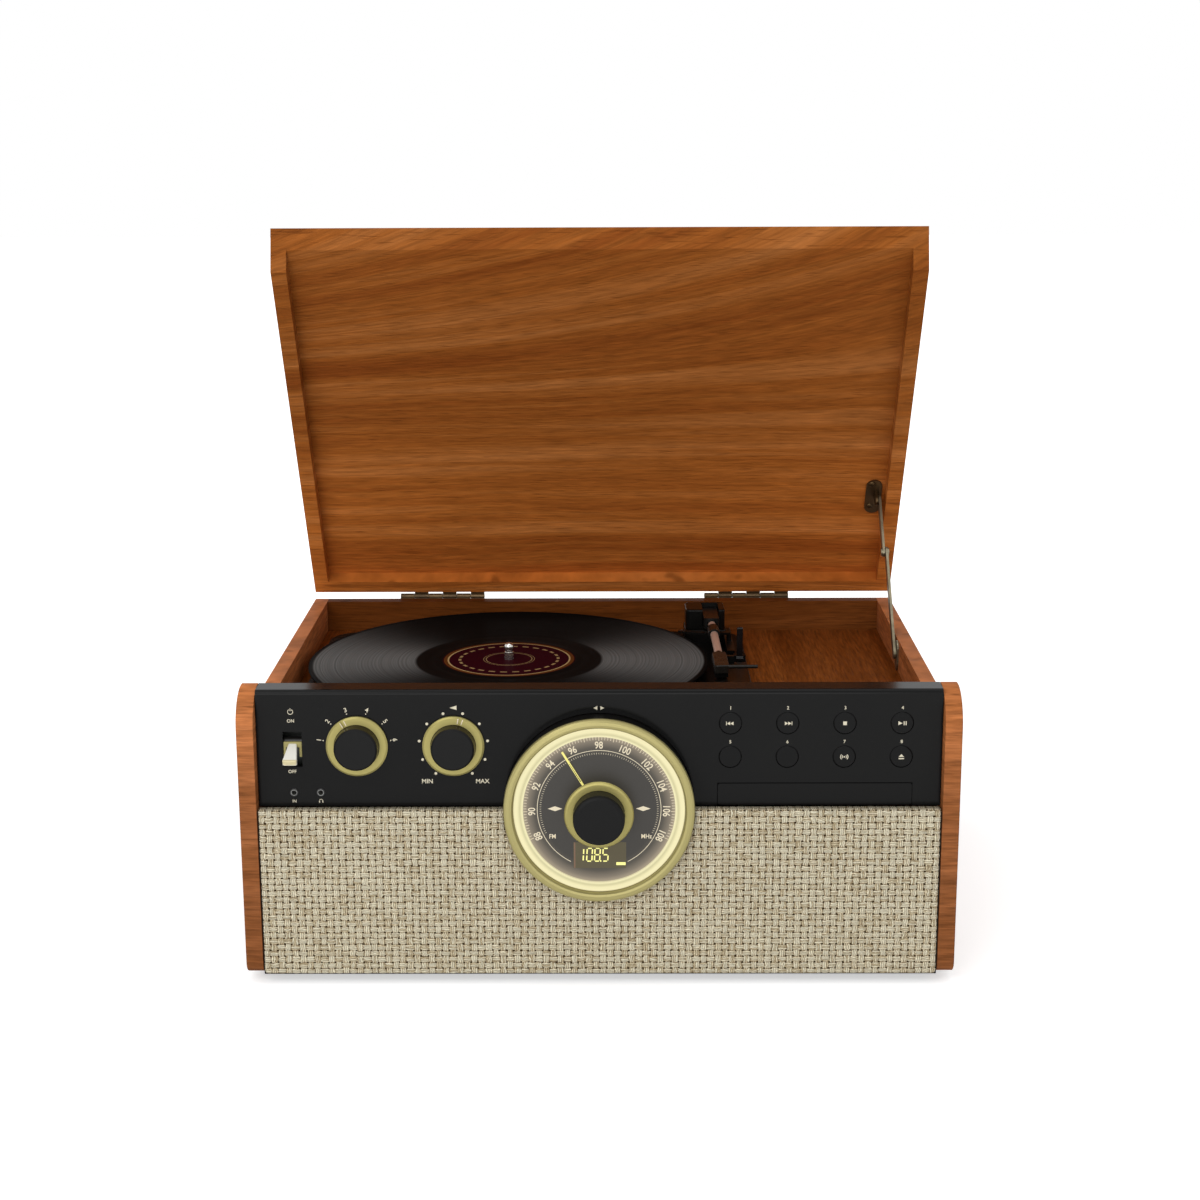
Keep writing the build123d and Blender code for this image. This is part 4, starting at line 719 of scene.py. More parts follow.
def moulded(name, colour, rough, grain=1800.0, depth=0.00003, **constants):
    """Moulded plastic with a fine spark texture, slow gloss changes and specks of dust."""
    plastic = Finish(name, **constants)
    own = plastic.place()
    texture = plastic.noise(own, grain, 3.0, 0.6)
    handled = plastic.noise(own, 28.0, 3.0)
    speck = plastic.span(plastic.noise(own, 1300.0, 1.0), 0.74, 0.8)
    shade = plastic.mix(texture, tint(colour, 0.8), tint(colour, 1.2))
    plastic.feed(base_color=plastic.mix(speck * 0.25, shade, tint(colour, 1.6, 0.02)),
                 roughness=handled * 0.1 + texture * 0.06 + (rough - 0.08))
    plastic.bump(texture, depth)
    return plastic


deck_black = moulded("deck_black", (0.003, 0.003, 0.003), 0.4, specular_ior_level=0.08)
part_black = moulded("part_black", (0.0035, 0.003, 0.0025), 0.32, specular_ior_level=0.12)
deck_black.cover("turntable_plate")


def turned_metal(name, colour, rough, *spot):
    """Lathe-turned metal with fine rings round an upright axis."""
    metal = Finish(name)
    lines = metal.noise(metal.join(from_axis(metal, *spot, upright=True) * 3200.0, 0.0, 0.0), 1.0, 3.0)
    stain = metal.noise(metal.place(), 90.0, 3.0)
    metal.feed(base_color=metal.mix(stain, tint(colour, 0.85), tint(colour, 1.12)),
               roughness=lines * 0.14 + (rough - 0.07), metallic=0.95 - stain * 0.06)
    metal.bump(lines, 0.000012)
    return metal


spindle_x, spindle_y = -69.4, 209.3
turned_metal("platter_metal", (0.5, 0.5, 0.49), 0.3, spindle_x, spindle_y, 160).cover("platter")
turned_metal("spindle_chrome", (0.62, 0.6, 0.56), 0.14, spindle_x, spindle_y, 170).cover("spindle")
mat_rubber = Finish("mat_rubber", specular_ior_level=0.3)
ring = from_axis(mat_rubber, spindle_x, spindle_y, 163, upright=True)
mat_grain = mat_rubber.noise(mat_rubber.place(), 1200.0, 3.0)
mat_rubber.feed(base_color=mat_rubber.mix(mat_grain, (0.008, 0.008, 0.008), (0.02, 0.02, 0.019)),
                roughness=mat_grain * 0.15 + 0.6)
mat_rubber.bump((ring * 2100.0).maths("SINE") + mat_grain * 0.4, 0.0003)
mat_rubber.cover("slip_mat")

# Drive: a can motor under the plate with a turned brass pulley on its shaft, and a
# ground rubber belt from the pulley to the platter.
brushed("motor_can", (0.4, 0.4, 0.38), 0.4, (60.0, 60.0, 1800.0)).cover("platter_motor")
turned_metal("pulley_brass", (0.5, 0.36, 0.14), 0.25, -138.2, 161.1, 156).cover("motor_pulley")
foot_rubber.cover("drive_belt")

# Record: pressed black vinyl with a raised rim, fine grooves with two grey fans of painted
# highlight to the sides, a run-out, and a dark red paper label with coloured rings and beads.
vinyl = Finish("record_vinyl", specular_ior_level=0.003)
x, y, z = around(vinyl, spindle_x, spindle_y, 164.7)
ring = (x * x + y * y) ** 0.5 * 1000.0
turned = x.maths("ARCTAN2", y)
fine_grooves = vinyl.noise(vinyl.join(ring * 0.7, 0.0, 0.0), 1.0, 3.0, 0.75)
wide_grooves = vinyl.noise(vinyl.join(ring * 0.2, 4.0, 0.0), 1.0, 2.0, 0.6)
run_out, rim, label_edge = 69.0, 148.0, 50.0
highlight_fan_narrowness, bead_count = 7.0, 26.0
cut = vinyl.span(ring, run_out, run_out + 3.0) * vinyl.span(ring, rim - 2.0, rim, 1.0, 0.0)
# painted highlight: grey fans left and right of the spindle, in the base colour
painted_highlight_fan = (x.maths("ABSOLUTE") * 1000.0 / (ring + 0.1)) ** highlight_fan_narrowness * cut
label = ring < label_edge
paper = vinyl.noise(vinyl.place(), 1500.0, 3.0)
cream_ring = ring.between(45.2, 46.4)
brown_ring = ring.between(46.4, 49.2)
beads = ring.between(36.0, 38.2) * ((turned * bead_count).maths("SINE") > -0.2)
inner_ring = ring.between(17.0, 17.6) + ring.between(19.0, 19.4)
tone = vinyl.mix(paper, (0.02, 0.0015, 0.0035), (0.03, 0.003, 0.006))
tone = vinyl.mix(brown_ring, tone, (0.1, 0.032, 0.008))
tone = vinyl.mix(cream_ring, tone, (0.4, 0.27, 0.12))
tone = vinyl.mix(inner_ring + beads, tone, (0.3, 0.2, 0.09))
painted_sheen = painted_highlight_fan * vinyl.span(fine_grooves, 0.3, 0.7, 0.35, 1.0, "LINEAR")
# the black of the grooves, with the painted highlight fans mixed in
black = vinyl.mix(painted_sheen, vinyl.mix(wide_grooves, (0.0018, 0.0018, 0.0018), (0.007, 0.007, 0.0068)),
                  (0.17, 0.17, 0.166))
vinyl.feed(base_color=vinyl.mix(label, black, tone), roughness=label * 0.2 + cut * 0.1 + 0.3)
vinyl.bump(fine_grooves * cut + label * 0.6, 0.00012)
vinyl.cover("record")

# Tonearm: a straight tube, its pinkish colour a painted reflection of the wood lid, on a black
# pivot block, a black collar and headshell, with its cueing lever, curved lifter, stand and speed selector.
pivot_x, pivot_depth, pivot_height = 86.6, 310, 173.4
tube_coat = Finish("tube_coat", specular_ior_level=0.25)
x, y, z = around(tube_coat, pivot_x, pivot_depth, pivot_height)
tube_grain = tube_coat.noise(tube_coat.join(x * 900.0, y * 60.0, z * 900.0), 1.0, 3.0)
block_end, collar_start, collar_end, headshell_start = 32.0, 45.3, 63.2, 121.0
down_tube = y * -1000.0
black_part = (down_tube < block_end) + down_tube.between(collar_start, collar_end) + (down_tube > headshell_start)
black_part = tube_coat.span(black_part, 0.0, 1.0)
# painted reflection: the pinkish tube colour stands for the wood lid mirrored in the tube
tube_coat.feed(base_color=tube_coat.mix(black_part, tube_coat.mix(
    tube_grain, (0.46, 0.29, 0.22), (0.64, 0.44, 0.35)), (0.004, 0.0035, 0.003)),
    roughness=tube_grain * 0.12 + 0.26, metallic=0.3 - black_part * 0.3)
tube_coat.bump(tube_grain, 0.00002)
tube_coat.cover("tonearm")
part_black.cover("tonearm_base", "tonearm_yoke", "arm_rest", "arm_lifter", "speed_knob", "cartridge")
for name, finish, colour, rough, mirror in (
        ("headshell", "headshell_lacquer", (0.012, 0.01, 0.008), 0.28, 0.2),
        ("cue_lever", "cue_lever_black", (0.006, 0.0045, 0.0045), 0.24, 0.25)):
    moulded(finish, colour, rough, 2600.0, 0.00001, specular_ior_level=mirror).cover(name)

# Front panel: one glossy black moulding with a faint waviness, fine dust and wiping
# marks; its printing is pale gold ink that stands a hair above the surface.
gloss_black = Finish("gloss_black", specular_ior_level=0.09)
own = gloss_black.place()
waves = gloss_black.noise(own, 16.0, 2.0)
wiped = gloss_black.noise(gloss_black.place(turn=(0, 0.6, 0), scale=(60, 60, 9)), 1.0, 4.0, 0.6)
specks = gloss_black.span(gloss_black.noise(own, 1500.0, 1.0), 0.76, 0.8)
gloss_black.feed(base_color=gloss_black.mix(specks * 0.3, gloss_black.mix(
    waves, (0.0068, 0.0068, 0.0068), (0.0085, 0.0085, 0.0083)), (0.05, 0.05, 0.05)),
    roughness=wiped * 0.1 + 0.1)
gloss_black.bump(waves, 0.00006)
gloss_black.cover("fascia")


def polar(radius, turn):
    """Across and up from a centre, at an angle in degrees clockwise from straight up."""
    return radius * sin(radians(turn)), radius * cos(radians(turn))


class Print:
    """Flat marks drawn in millimetres, x to the right and y up, made into one thin piece."""

    def __init__(self):
        self.shape = bmesh.new()

    def patch(self, points):
        """A filled outline."""
        self.shape.faces.new([self.shape.verts.new((x, y, 0.0)) for x, y in points])

    def bar(self, x, y, width, height, turn=0.0):
        """A rectangle about its middle, turned clockwise by so many degrees."""
        c, s = cos(radians(turn)), sin(radians(turn))
        corners = ((-width, -height), (width, -height), (width, height), (-width, height))
        self.patch([(x + (a * c + b * s) / 2, y + (b * c - a * s) / 2) for a, b in corners])

    def arc(self, x, y, radius, width, first=0.0, last=360.0, steps=48):
        """Part of a ring, by angles from straight up, clockwise."""
        spots = []
        for k in range(steps + 1):
            turn = radians(first + (last - first) * k / steps)
            spots.append([self.shape.verts.new((x + r * sin(turn), y + r * cos(turn), 0.0))
                          for r in (radius - width / 2, radius + width / 2)])
        for near, far in zip(spots, spots[1:]):
            self.shape.faces.new((near[0], near[1], far[1], far[0]))

    def disc(self, x, y, radius, steps=20):
        self.patch([(x + radius * sin(tau * k / steps), y + radius * cos(tau * k / steps)) for k in range(steps)])

    def add(self, mesh, place=Matrix()):
        """Takes in a flat mesh, moved to its place."""
        before = set(self.shape.verts)
        self.shape.from_mesh(mesh)
        bmesh.ops.transform(self.shape, matrix=place, verts=[v for v in self.shape.verts if v not in before])
        bpy.data.meshes.remove(mesh)

    def words(self, text, x, y, height, turn=0.0, width=1.0):
        """Upright lettering about its middle, so tall, turned clockwise by so many degrees."""
        letters = bpy.data.curves.new("letters", "FONT")
        letters.body = text
        letters.offset = 0.014  # printed strokes spread a little
        letters.resolution_u = 3
        thing = bpy.data.objects.new("letters", letters)
        mesh = bpy.data.meshes.new_from_object(thing)
        bpy.data.objects.remove(thing)
        across = [v.co.x for v in mesh.vertices]
        upward = [v.co.y for v in mesh.vertices]
        size = height / (max(upward) - min(upward))
        middle = Vector(((min(across) + max(across)) / 2, (min(upward) + max(upward)) / 2, 0))
        place = (Matrix.Translation((x, y, 0)) @ Matrix.Rotation(-radians(turn), 4, "Z")
                 @ Matrix.Diagonal((size * width, size, 1, 1)) @ Matrix.Translation(-middle))
        self.add(mesh, place)

    def make(self, name, place, body, finish, slot, thickness=0.05, bevel=0.0):
        """Gives the marks their thickness, puts them in place and lets them ride on a body."""
        bmesh.ops.remove_doubles(self.shape, verts=self.shape.verts[:], dist=1e-4)
        raised = bmesh.ops.extrude_face_region(self.shape, geom=self.shape.faces[:])["geom"]
        bmesh.ops.translate(self.shape, vec=(0, 0, thickness),
                            verts=[item for item in raised if isinstance(item, bmesh.types.BMVert)])
        bmesh.ops.recalc_face_normals(self.shape, faces=self.shape.faces[:])
        if bevel:
            bmesh.ops.bevel(self.shape, geom=self.shape.edges[:], offset=bevel, segments=2, affect="EDGES",
                            clamp_overlap=True)
        self.shape.transform(place)
        mesh = bpy.data.meshes.new(name)
        self.shape.to_mesh(mesh)
        self.shape.free()
        piece(name, mesh, body, finish, slot)


def front_plane(depth, x=0.0, height=0.0):
    """Millimetres on a plane that faces the front, to metres in the set."""
    spot = at(x, depth, height)
    return Matrix(((0.001, 0, 0, spot.x), (0, 0, -0.001, spot.y), (0, 0.001, 0, spot.z), (0, 0, 0, 1)))


gold_ink = Finish("gold_ink")
ink_colour = (0.72, 0.66, 0.5)
ink_grain = gold_ink.noise(gold_ink.place(), 2600.0, 3.0)
gold_ink.feed(base_color=gold_ink.mix(ink_grain, tint(ink_colour, 0.78), tint(ink_colour, 1.1)),
              roughness=ink_grain * 0.2 + 0.4)
gold_ink.bump(ink_grain, 0.000008)
ring_pattern = Pattern("ring_pattern", **{
    "Mark Count": 6, "First Angle": 0.0, "Last Angle": 1.0, "Ring Radius": 20.0})
last_step = ring_pattern.size("Mark Count") - 1.0
reach = ring_pattern.size("Last Angle") - ring_pattern.size("First Angle")
mark_turn = (ring_pattern.node("GeometryNodeInputIndex") / last_step) * reach + ring_pattern.size("First Angle")
mark_spot = ring_pattern.join(mark_turn.maths("SINE") * ring_pattern.size("Ring Radius"),
                              mark_turn.maths("COSINE") * ring_pattern.size("Ring Radius"), 0.0)
mark_points = ring_pattern.node("GeometryNodePoints", {}, {
    "Count": ring_pattern.size("Mark Count"), "Position": mark_spot})
mark_facing = ring_pattern.node("FunctionNodeEulerToRotation", {}, [ring_pattern.join(0.0, 0.0, mark_turn * -1.0)])
ring_pattern.end(ring_pattern.node("GeometryNodeInstanceOnPoints", {}, {
    "Points": mark_points, "Instance": ring_pattern.size("Geometry"), "Rotation": mark_facing}), gold_ink)


def ring_of_marks(points, count, first, last, radius):
    """A flat ring of like marks, each upright on its own radius; angles clockwise from up."""
    mark = bpy.data.meshes.new("mark")
    mark.from_pydata([(x, y, 0) for x, y in points], [], [range(len(points))])
    return ring_pattern.bake("mark", mark, **{
        "Mark Count": count, "First Angle": radians(first), "Last Angle": radians(last), "Ring Radius": radius})


def round_mark(radius):
    corners = 14
    return [(radius * cos(tau * k / corners), radius * sin(tau * k / corners)) for k in range(corners)]


control_height = 159.0
source_x, volume_x, lever_x = -160.49, -96.5, -203.5
marks = Print()
inputs, source_reach, volume_reach = 6, 81.0, 148.0
for dot, count, last, radius, x in ((0.42, inputs, source_reach, 22.7, source_x),
                                    (0.95, 10, volume_reach, 22.9, volume_x)):
    marks.add(ring_of_marks(round_mark(dot), count, -last, last, radius),
              Matrix.Translation((x, control_height, 0)))
for number in range(inputs):
    turn = -source_reach + 2 * source_reach / (inputs - 1) * number
    right, up = polar(25.6, turn)
    marks.words(str(number + 1), source_x + right, control_height + up, 3.1, turn)
power_x = lever_x - 0.6
for words, x, height, size in (("ON", power_x, 176.2, 2.3), ("OFF", power_x, 141.1, 2.3),
                               ("MIN", -114.4, 134.2, 3.0), ("MAX", -77.5, 134.2, 3.0), ("IN", lever_x, 120.4, 2.0)):
    marks.words(words, x, height, size)
# The power sign, an arrow over the volume knob, and a pair of them over the dial.
marks.arc(power_x, 182.4, 1.7, 0.4, 28.0, 332.0, 24)
marks.bar(power_x, 183.9, 0.4, 2.0)
marks.patch([(-98.6, 185.0), (-94.0, 183.5), (-94.0, 186.5)])
marks.patch([(-1.0, 183.3), (-1.0, 186.1), (-3.6, 184.7)])
marks.patch([(1.0, 183.3), (3.6, 184.7), (1.0, 186.1)])
# Headphones over their socket: a bow with a pad at each end.
phones_x, bow = -185.7, 1.1
marks.arc(phones_x, 120.5, bow, 0.35, -100.0, 100.0, 20)
for side in (-bow, bow):
    marks.bar(phones_x + side, 119.9, 0.7, 1.3)
number_places = [(x, height) for height in (184.6, 161.25) for x in (87.0, 124.8, 162.6, 200.4)]
for number, (x, height) in enumerate(number_places, 1):
    marks.words(str(number), x, height, 2.3)
panel_face = 10.01
marks.make("panel_marks", front_plane(panel_face), "cabinet", gold_ink, "gold_trim")

# Power lever: an ivory moulded paddle with a gilt end, painted black where it sits in the
# slot of the panel as painted shade. A gilt shroud covers the root and moves with it.
ivory = Finish("lever_ivory", specular_ior_level=0.4)
ivory_grain = ivory.noise(ivory.place(), 1500.0, 3.0)
out = around(ivory, lever_x, 16, 160)[1] * -1.0
lever_end = ivory.span(out, 0.0196, 0.0204)
# painted shade: the paddle turns black inside the slot
painted_slot_shade = ivory.span(out, 0.0055, 0.0045)
ivory.feed(base_color=ivory.mix(lever_end, ivory.mix(
    painted_slot_shade, (0.86, 0.84, 0.76), (0.01, 0.009, 0.008)), (0.66, 0.58, 0.34)),
    roughness=ivory_grain * 0.12 + 0.3)
ivory.bump(ivory_grain, 0.00001)
ivory.cover("power_lever")
gold_colour = (0.31, 0.27, 0.095)
gilt = brushed("gilt_trim", gold_colour, 0.42, (300.0, 300.0, 300.0), tarnish=(0.26, 0.225, 0.08), metallic=0.5)
half_wide, leg = 6.05, 1.6
shroud_low, shroud_bar, shroud_top = 150.9, 157.5, 161.4
shroud = Print()
shroud.patch([(lever_x + right, up) for right, up in (
    (-half_wide, shroud_low), (leg - half_wide, shroud_low), (leg - half_wide, shroud_bar),
    (half_wide - leg, shroud_bar), (half_wide - leg, shroud_low), (half_wide, shroud_low),
    (half_wide, shroud_top), (-half_wide, shroud_top))])
shroud.make("lever_shroud", front_plane(12.3), "power_lever", gilt, "gold_trim", thickness=1.3, bevel=0.2)

# Source and volume knobs: a gilt skirt with a pointer notch between two bright lines,
# and a matt black cap whose round side shines.


def knob_finish(name, x, cap=15.0, round_edge=0.9):
    """Gilt skirt and ringed black cap, told apart by the distance from the shaft."""
    knob = Finish(name, specular_ior_level=0.12)
    ring = from_axis(knob, x, 0, control_height) * 1000.0
    black = ring < cap + 0.2
    turned = knob.noise(knob.join(ring * 3.0, 0.0, 0.0), 1.0, 2.0)
    grain = knob.noise(knob.place(), 1900.0, 3.0)
    face = ring < cap - round_edge
    knob.feed(base_color=knob.mix(black, knob.mix(turned, (0.29, 0.25, 0.088), (0.36, 0.315, 0.115)),
                                  knob.mix(face, (0.012, 0.008, 0.004), (0.006, 0.006, 0.006))),
              roughness=black * -0.18 + face * 0.22 + turned * 0.08 + 0.36,
              metallic=0.6 - black * 0.6)
    knob.bump(turned * (1.0 - black) * 0.3 + grain * face, 0.00003)
    return knob


skirt_face, line_radius, half_notch = 7.02, 17.8, 4.6
bright_line = brushed("bright_line", (0.72, 0.62, 0.5), 0.3, (900.0, 900.0, 900.0), metallic=0.6)
for name, middle, turn in (("source_knob", source_x, -28.7), ("volume_knob", volume_x, 15.2)):
    knob_finish(name + "_finish", middle).cover(name)
    pointer = Print()
    for edge_turn in (turn - half_notch, turn + half_notch):
        pointer.bar(*polar(line_radius, edge_turn), 0.55, 3.6, edge_turn)
    place = front_plane(skirt_face, middle, control_height)
    pointer.make(name + "_pointer", place, name, bright_line, "gold_trim", 0.08)

# Dial: a black drum with a gilt bezel and a lit face. A cream ring glows round the
# scale of plain radio numbers; the face falls to dark grey inwards, and a small
# amber window shows the tuned number.
dial_x, dial_height = 0.0, 118.0
part_black.cover("dial_drum")
bezel_gold = Finish("bezel_gold", specular_ior_level=0.25)
bezel_ring = from_axis(bezel_gold, dial_x, 0, dial_height) * 1000.0
bezel_lines = bezel_gold.noise(bezel_gold.join(bezel_ring * 4.0, 0.0, 0.0), 1.0, 2.0)
bezel_gold.feed(base_color=bezel_gold.mix(bezel_lines, (0.31, 0.27, 0.105), (0.385, 0.34, 0.145)),
                roughness=bezel_lines * 0.12 + 0.34, metallic=bezel_lines * 0.1 + 0.5)
bezel_gold.bump(bezel_lines, 0.00001)
bezel_gold.cover("dial_bezel")
lit_face = Finish("lit_face", specular_ior_level=0.3, emission_strength=1.0)
ring = from_axis(lit_face, dial_x, 0, dial_height) * 1000.0
mist = lit_face.noise(lit_face.place(), 900.0, 3.0)
glow = lit_face.span(ring, 50.2, 50.8)
halo = lit_face.ramp(ring / 51.0, (0.0, (0.024, 0.022, 0.02)), (0.74, (0.03, 0.027, 0.023)),
                     (0.84, (0.07, 0.06, 0.045)), (0.93, (0.2, 0.165, 0.12)), (1.0, (0.4, 0.33, 0.23)))
lamp_spread = lit_face.ramp((ring - 50.0) / 7.0, (0.0, (0.7, 0.66, 0.4)), (0.16, (0.58, 0.55, 0.31)),
                            (0.35, (0.36, 0.34, 0.16)), (0.6, (0.6, 0.56, 0.31)), (0.9, (0.66, 0.62, 0.36)),
                            (1.0, (0.3, 0.25, 0.1)))
lit_face.feed(base_color=lit_face.mix(glow, lit_face.mix(
    mist, (0.012, 0.011, 0.01), (0.018, 0.017, 0.015)), (0.3, 0.27, 0.18)),
    emission_color=lit_face.mix(glow, halo, lamp_spread),
    roughness=mist * 0.1 + 0.4)
lit_face.bump(mist, 0.00001)
lit_face.cover("dial_face")


def lit_ink(name, colour, strength):
    """Ink that the lamp behind the face shines through."""
    film = Finish(name, specular_ior_level=0.2, emission_strength=strength)
    grain = film.noise(film.place(), 2200.0, 2.0)
    film.feed(base_color=film.mix(grain, tint(colour, 0.4), tint(colour, 0.5)),
              emission_color=film.mix(grain, tint(colour, 0.8), colour), roughness=grain * 0.1 + 0.4)
    return film


scale_plane, window_plane, digit_plane, needle_plane = -1.49, -1.47, -1.5, -3.38


def make_lit(marks, name, ink, colour, strength, depth=scale_plane, thickness=0.05):
    """Makes marks on the dial's face, in a lit ink of their own."""
    marks.make(name, front_plane(depth, dial_x, dial_height), "cabinet", lit_ink(ink, colour, strength),
               "dial_print", thickness)


scale_first, scale_last, scale_reach = 88, 108, 114.5
scale = Print()
for half_wide, half_tall, count, radius in ((0.15, 1.0, 101, 49.2), (0.2, 1.3, 21, 48.9), (0.11, 0.55, 101, 38.9)):
    tick = [(-half_wide, -half_tall), (half_wide, -half_tall), (half_wide, half_tall), (-half_wide, half_tall)]
    scale.add(ring_of_marks(tick, count, -scale_reach, scale_reach, radius))
inner_line, number_radius, line_reach = 41.0, 44.7, 152.5
scale.arc(0, 0, inner_line, 0.4, -line_reach, line_reach, 120)
for number in range(scale_first, scale_last + 1, 2):
    turn = -scale_reach + (number - scale_first) * 2 * scale_reach / (scale_last - scale_first)
    scale.words(str(number), *polar(number_radius, turn), 5.0, turn, 0.82)
scale.words("FM", -31.0, -18.6, 3.1, 0.0, 0.85)
scale.words("MHz", 31.5, -18.6, 3.1, 0.0, 0.85)
for middle in (-29.2, 29.2):
    scale.patch([(middle - 4.8, 0.7), (middle, -1.0), (middle + 4.8, 0.7), (middle, 2.4)])
make_lit(scale, "dial_scale", "scale_ink", (0.68, 0.6, 0.44), 0.85)
window = Print()
window_left, window_right, window_top, window_low = -17.2, 17.9, -22.8, -41.0
window.patch([(window_left, window_top), (window_left, window_low), (window_right, window_low),
              (window_right, window_top)])
make_lit(window, "dial_window", "window_amber", (0.1, 0.085, 0.05), 0.7, window_plane, 0.04)
window_edge = Print()
window_edge.bar(window_left + 0.8, (window_top + window_low) / 2, 0.9, 18.0)
make_lit(window_edge, "dial_window_edge", "window_edge", (0.2, 0.12, 0.08), 0.7)
digit_width, digit_height, digit_low, stroke = 3.5, 9.0, -36.1, 0.85
lean, lean_turn = 0.06, 3.4
middle, top = digit_low + digit_height / 2, digit_low + digit_height
upper, lower = (middle + top) / 2, (middle + digit_low) / 2
segments = {"a": (0.5, top), "g": (0.5, middle), "d": (0.5, digit_low),
            "f": (0, upper), "b": (1, upper), "e": (0, lower), "c": (1, lower)}
digits = Print()
for left, lit in ((-14.3, "bc"), (-8.5, "abcdef"), (-3.3, "abcdefg"), (2.1, "acdfg")):
    for segment in lit:
        share, y = segments[segment]
        x = left + share * digit_width + (y - digit_low) * lean
        if segment in "agd":
            digits.bar(x, y, digit_width - 1.0, stroke)
        else:
            digits.bar(x, y, stroke, digit_height / 2 - 1.1, lean_turn)
digits.disc(0.9, -36.0, 0.55, 10)
digits.bar(14.4, -37.9, 6.2, 2.0)
make_lit(digits, "dial_digits", "digit_yellow", (0.93, 0.89, 0.3), 0.95, digit_plane, 0.06)

# Needle, tuning ring and tuning knob: a clear yellow pointer with a dark middle, a
# turned gilt ring, and a black cap that turns them both.
needle_turn, hollow_start, hollow_end = -31.0, 23.4, 38.0
lit_ink("needle_yellow", (0.85, 0.77, 0.24), 0.8).cover("dial_needle")
hollow = Print()
s, c = polar(1.0, needle_turn)
hollow.patch([(r * s + w * c, r * c - w * s) for r, w in (
    (hollow_start, -0.26), (hollow_end, -0.1), (hollow_end, 0.1), (hollow_start, 0.26))])
hollow.make("needle_hollow", front_plane(needle_plane, dial_x, dial_height), "tuning", part_black, "needle", 0.04)


def ringed(name, dark, rough, gilt_from, gilt_to):
    """A turned cap, gilt between two distances from its shaft and dark elsewhere."""
    made = Finish(name, specular_ior_level=0.12)
    ring = from_axis(made, dial_x, 0, dial_height) * 1000.0
    lines = made.noise(made.join(ring * 4.0, 0.0, 0.0), 1.0, 2.0)
    grain = made.noise(made.place(), 1900.0, 3.0)
    bright = ring.between(gilt_from, gilt_to)
    made.feed(base_color=made.mix(bright, made.mix(grain, tint(dark, 0.8), dark),
                                  made.mix(lines, tint(gold_colour, 0.9), tint(gold_colour, 1.1))),
              roughness=lines * 0.1 + grain * 0.05 + rough, metallic=bright * 0.6)
    made.bump(lines * bright * 0.3 + grain, 0.00002)
    return made


beyond = 90.0  # the knob has no gilt, so its gilt lies beyond its rim
ringed("tuning_ring_finish", (0.008, 0.0065, 0.005), 0.28, 17.2, 30.0).cover("tuning_ring")
ringed("tuning_knob_finish", (0.006, 0.006, 0.006), 0.36, beyond, beyond + 1.0).cover("tuning_knob")

# Keys: eight round gloss black buttons in close holes of the panel, each on a spring of
# its own. Six have a sign printed on them, and two are plain.
key_black = moulded("key_black", (0.0068, 0.0068, 0.0068), 0.2, 2400.0, 0.000006, specular_ior_level=0.09)


def step_sign(sign, way):
    """Two arrow heads against a bar, pointing left for -1 and right for 1."""
    for start in (-1.5, 0.2):
        sign.patch([(way * start, -1.0), (way * (start + 1.6), 0.0), (way * start, 1.0)][::way])
    sign.bar(way * 2.1, 0.0, 0.35, 2.0)


def stop_sign(sign):
    sign.bar(0, 0, 1.9, 1.9)


def play_sign(sign):
    sign.patch([(-2.0, -1.05), (0.1, 0.0), (-2.0, 1.05)])
    for x in (0.9, 1.9):
        sign.bar(x, 0, 0.5, 2.1)


def link_sign(sign):
    """A small dot with two waves each side."""
    sign.disc(0, 0, 0.4, 12)
    for radius in (1.1, 1.9):
        for middle in (-90, 90):
            sign.arc(0, 0, radius, 0.38, middle - 42, middle + 42, 8)


def eject_sign(sign):
    sign.patch([(-1.4, -0.1), (1.4, -0.1), (0.0, 1.4)])
    sign.bar(0, -1.0, 2.8, 0.6)


button_signs = {
    "button_back": lambda sign: step_sign(sign, -1), "button_next": lambda sign: step_sign(sign, 1),
    "button_stop": stop_sign, "button_play": play_sign, "button_link": link_sign, "button_eject": eject_sign}
sign_size, key_face = 1.3, 9.61
for name in (n for n in nodes if n.startswith("button_")):
    key_black.cover(name)
    if name in button_signs:
        sign = Print()
        button_signs[name](sign)
        sign.shape.transform(Matrix.Diagonal((sign_size, sign_size, 1.0, 1.0)))
        low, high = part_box(name)
        place = front_plane(key_face)
        place.translation = Vector(((low.x + high.x) / 2, place.translation.y, (low.z + high.z) / 2))
        sign.make(name + "_sign", place, name, gold_ink, "gold_trim")

# Disc tray and drive: the tray's gloss door shuts flush in the panel; the tray itself
# and the drive's housing are black moulded plastic. The two sockets have steel liners.
tray_black = Finish("tray_black", specular_ior_level=0.09)
door_back = 12.6
behind = tray_black.span(around(tray_black, 0, door_back, 125)[1], 0.0, 0.0004)
tray_grain = tray_black.noise(tray_black.place(), 1600.0, 3.0)
tray_black.feed(base_color=tray_black.mix(tray_grain, (0.0065, 0.0065, 0.0065), (0.0085, 0.0085, 0.0083)),
                roughness=behind * 0.3 + tray_grain * 0.08 + 0.12)
tray_black.bump(tray_grain * behind, 0.00003)
tray_black.cover("cd_tray")
part_black.cover("cd_mechanism")
sockets_x, socket_pitch, socket_height = -194.6, 17.8, 126.5
socket_finish = Finish("socket_finish")
x, y, z = around(socket_finish, sockets_x, 9.2, socket_height)
out = x.maths("ABSOLUTE") - socket_pitch / 2000
bore = (out * out + z * z) ** 0.5 * 1000.0
liner = bore.between(1.7, 1.95)
socket_grain = socket_finish.noise(socket_finish.place(), 1800.0, 3.0)
socket_finish.feed(base_color=socket_finish.mix(liner, socket_finish.mix(
    socket_grain, (0.018, 0.018, 0.018), (0.03, 0.03, 0.03)), (0.4, 0.4, 0.38)),
    roughness=socket_grain * 0.12 + 0.3, metallic=liner * 0.9)
socket_finish.bump(socket_grain, 0.00002)
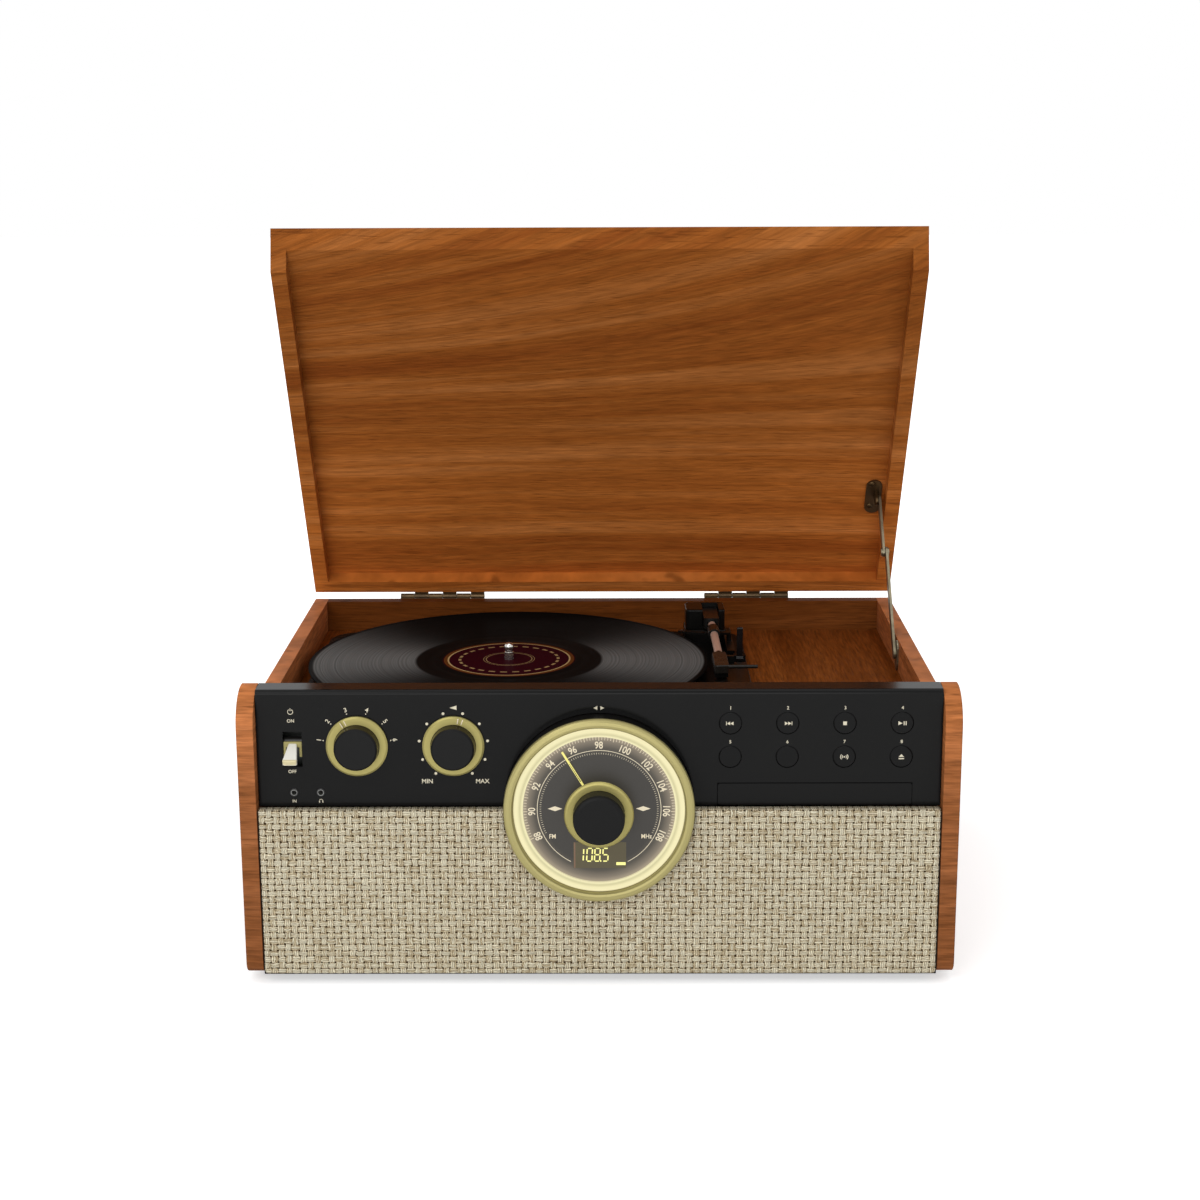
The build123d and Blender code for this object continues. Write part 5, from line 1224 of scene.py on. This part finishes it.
socket_finish.cover("front_jacks")

# Inside works: a black control board, a green amplifier board with its transformer,
# cans and heat sink, lettered with nothing but traces.


def circuit(name, board, copper, low, high):
    """Lacquered board with traces and pads up to a height, and dark parts above it."""
    made = Finish(name)
    own = made.place()
    x, y, z = made.split(own)
    cells = made.node("ShaderNodeTexVoronoi", {"distance": "MANHATTAN"}, {"Vector": own, "Scale": 240.0}, "Distance")
    lines = made.node("ShaderNodeTexBrick", {"offset": 0.5}, {
        "Vector": made.join(x * 160.0, y * 160.0 + z * 160.0, 0.0), "Color1": (0, 0, 0, 1), "Color2": (0, 0, 0, 1),
        "Mortar": (1, 1, 1, 1), "Scale": 1.0, "Mortar Size": 0.05})
    pads = made.span(cells, 0.0, 0.14, 1.0, 0.0)
    parts = made.span(z, low, high)
    grain = made.noise(own, 500.0, 3.0)
    face = made.mix(pads, made.mix(lines, board, copper), (0.5, 0.5, 0.46))
    made.feed(base_color=made.mix(parts, face, made.mix(grain, (0.02, 0.02, 0.022), (0.12, 0.11, 0.1))),
              roughness=grain * 0.2 + 0.3, metallic=pads * 0.6)
    made.bump(pads + grain * 0.3, 0.0001)
    return made


main_board_top = foot_top + 0.0175
out_of_reach = 2.0  # the control board's parts are left in the colours of the board
circuit("main_board_finish", (0.01, 0.06, 0.02), (0.02, 0.11, 0.035),
        main_board_top, main_board_top + 0.0007).cover("main_board")
circuit("control_board_finish", (0.004, 0.006, 0.004), (0.007, 0.01, 0.006),
        out_of_reach, out_of_reach + 0.1).cover("control_board")

# Rear terminal plate: a black moulded plate with a mains inlet and four sockets. Screws
# hold it and the back board.
moulded("terminal_black", (0.012, 0.012, 0.012), 0.42).cover("terminal_plate")
for name, width, seed, back, xs, heights in (
        ("back_board_screws", 6.4, 21, 375.02, (-215.0, -70.0, 70.0, 215.0), (8.0, 148.0)),
        ("terminal_screws", small_screw, 23, 376.5, (-190.0, -50.0), (33.0, 71.0))):
    screws(name, "cabinet", width, seed, [(at(x, back, height), (0, 1, 0)) for x in xs for height in heights])
bpy.data.objects.remove(screw_model)
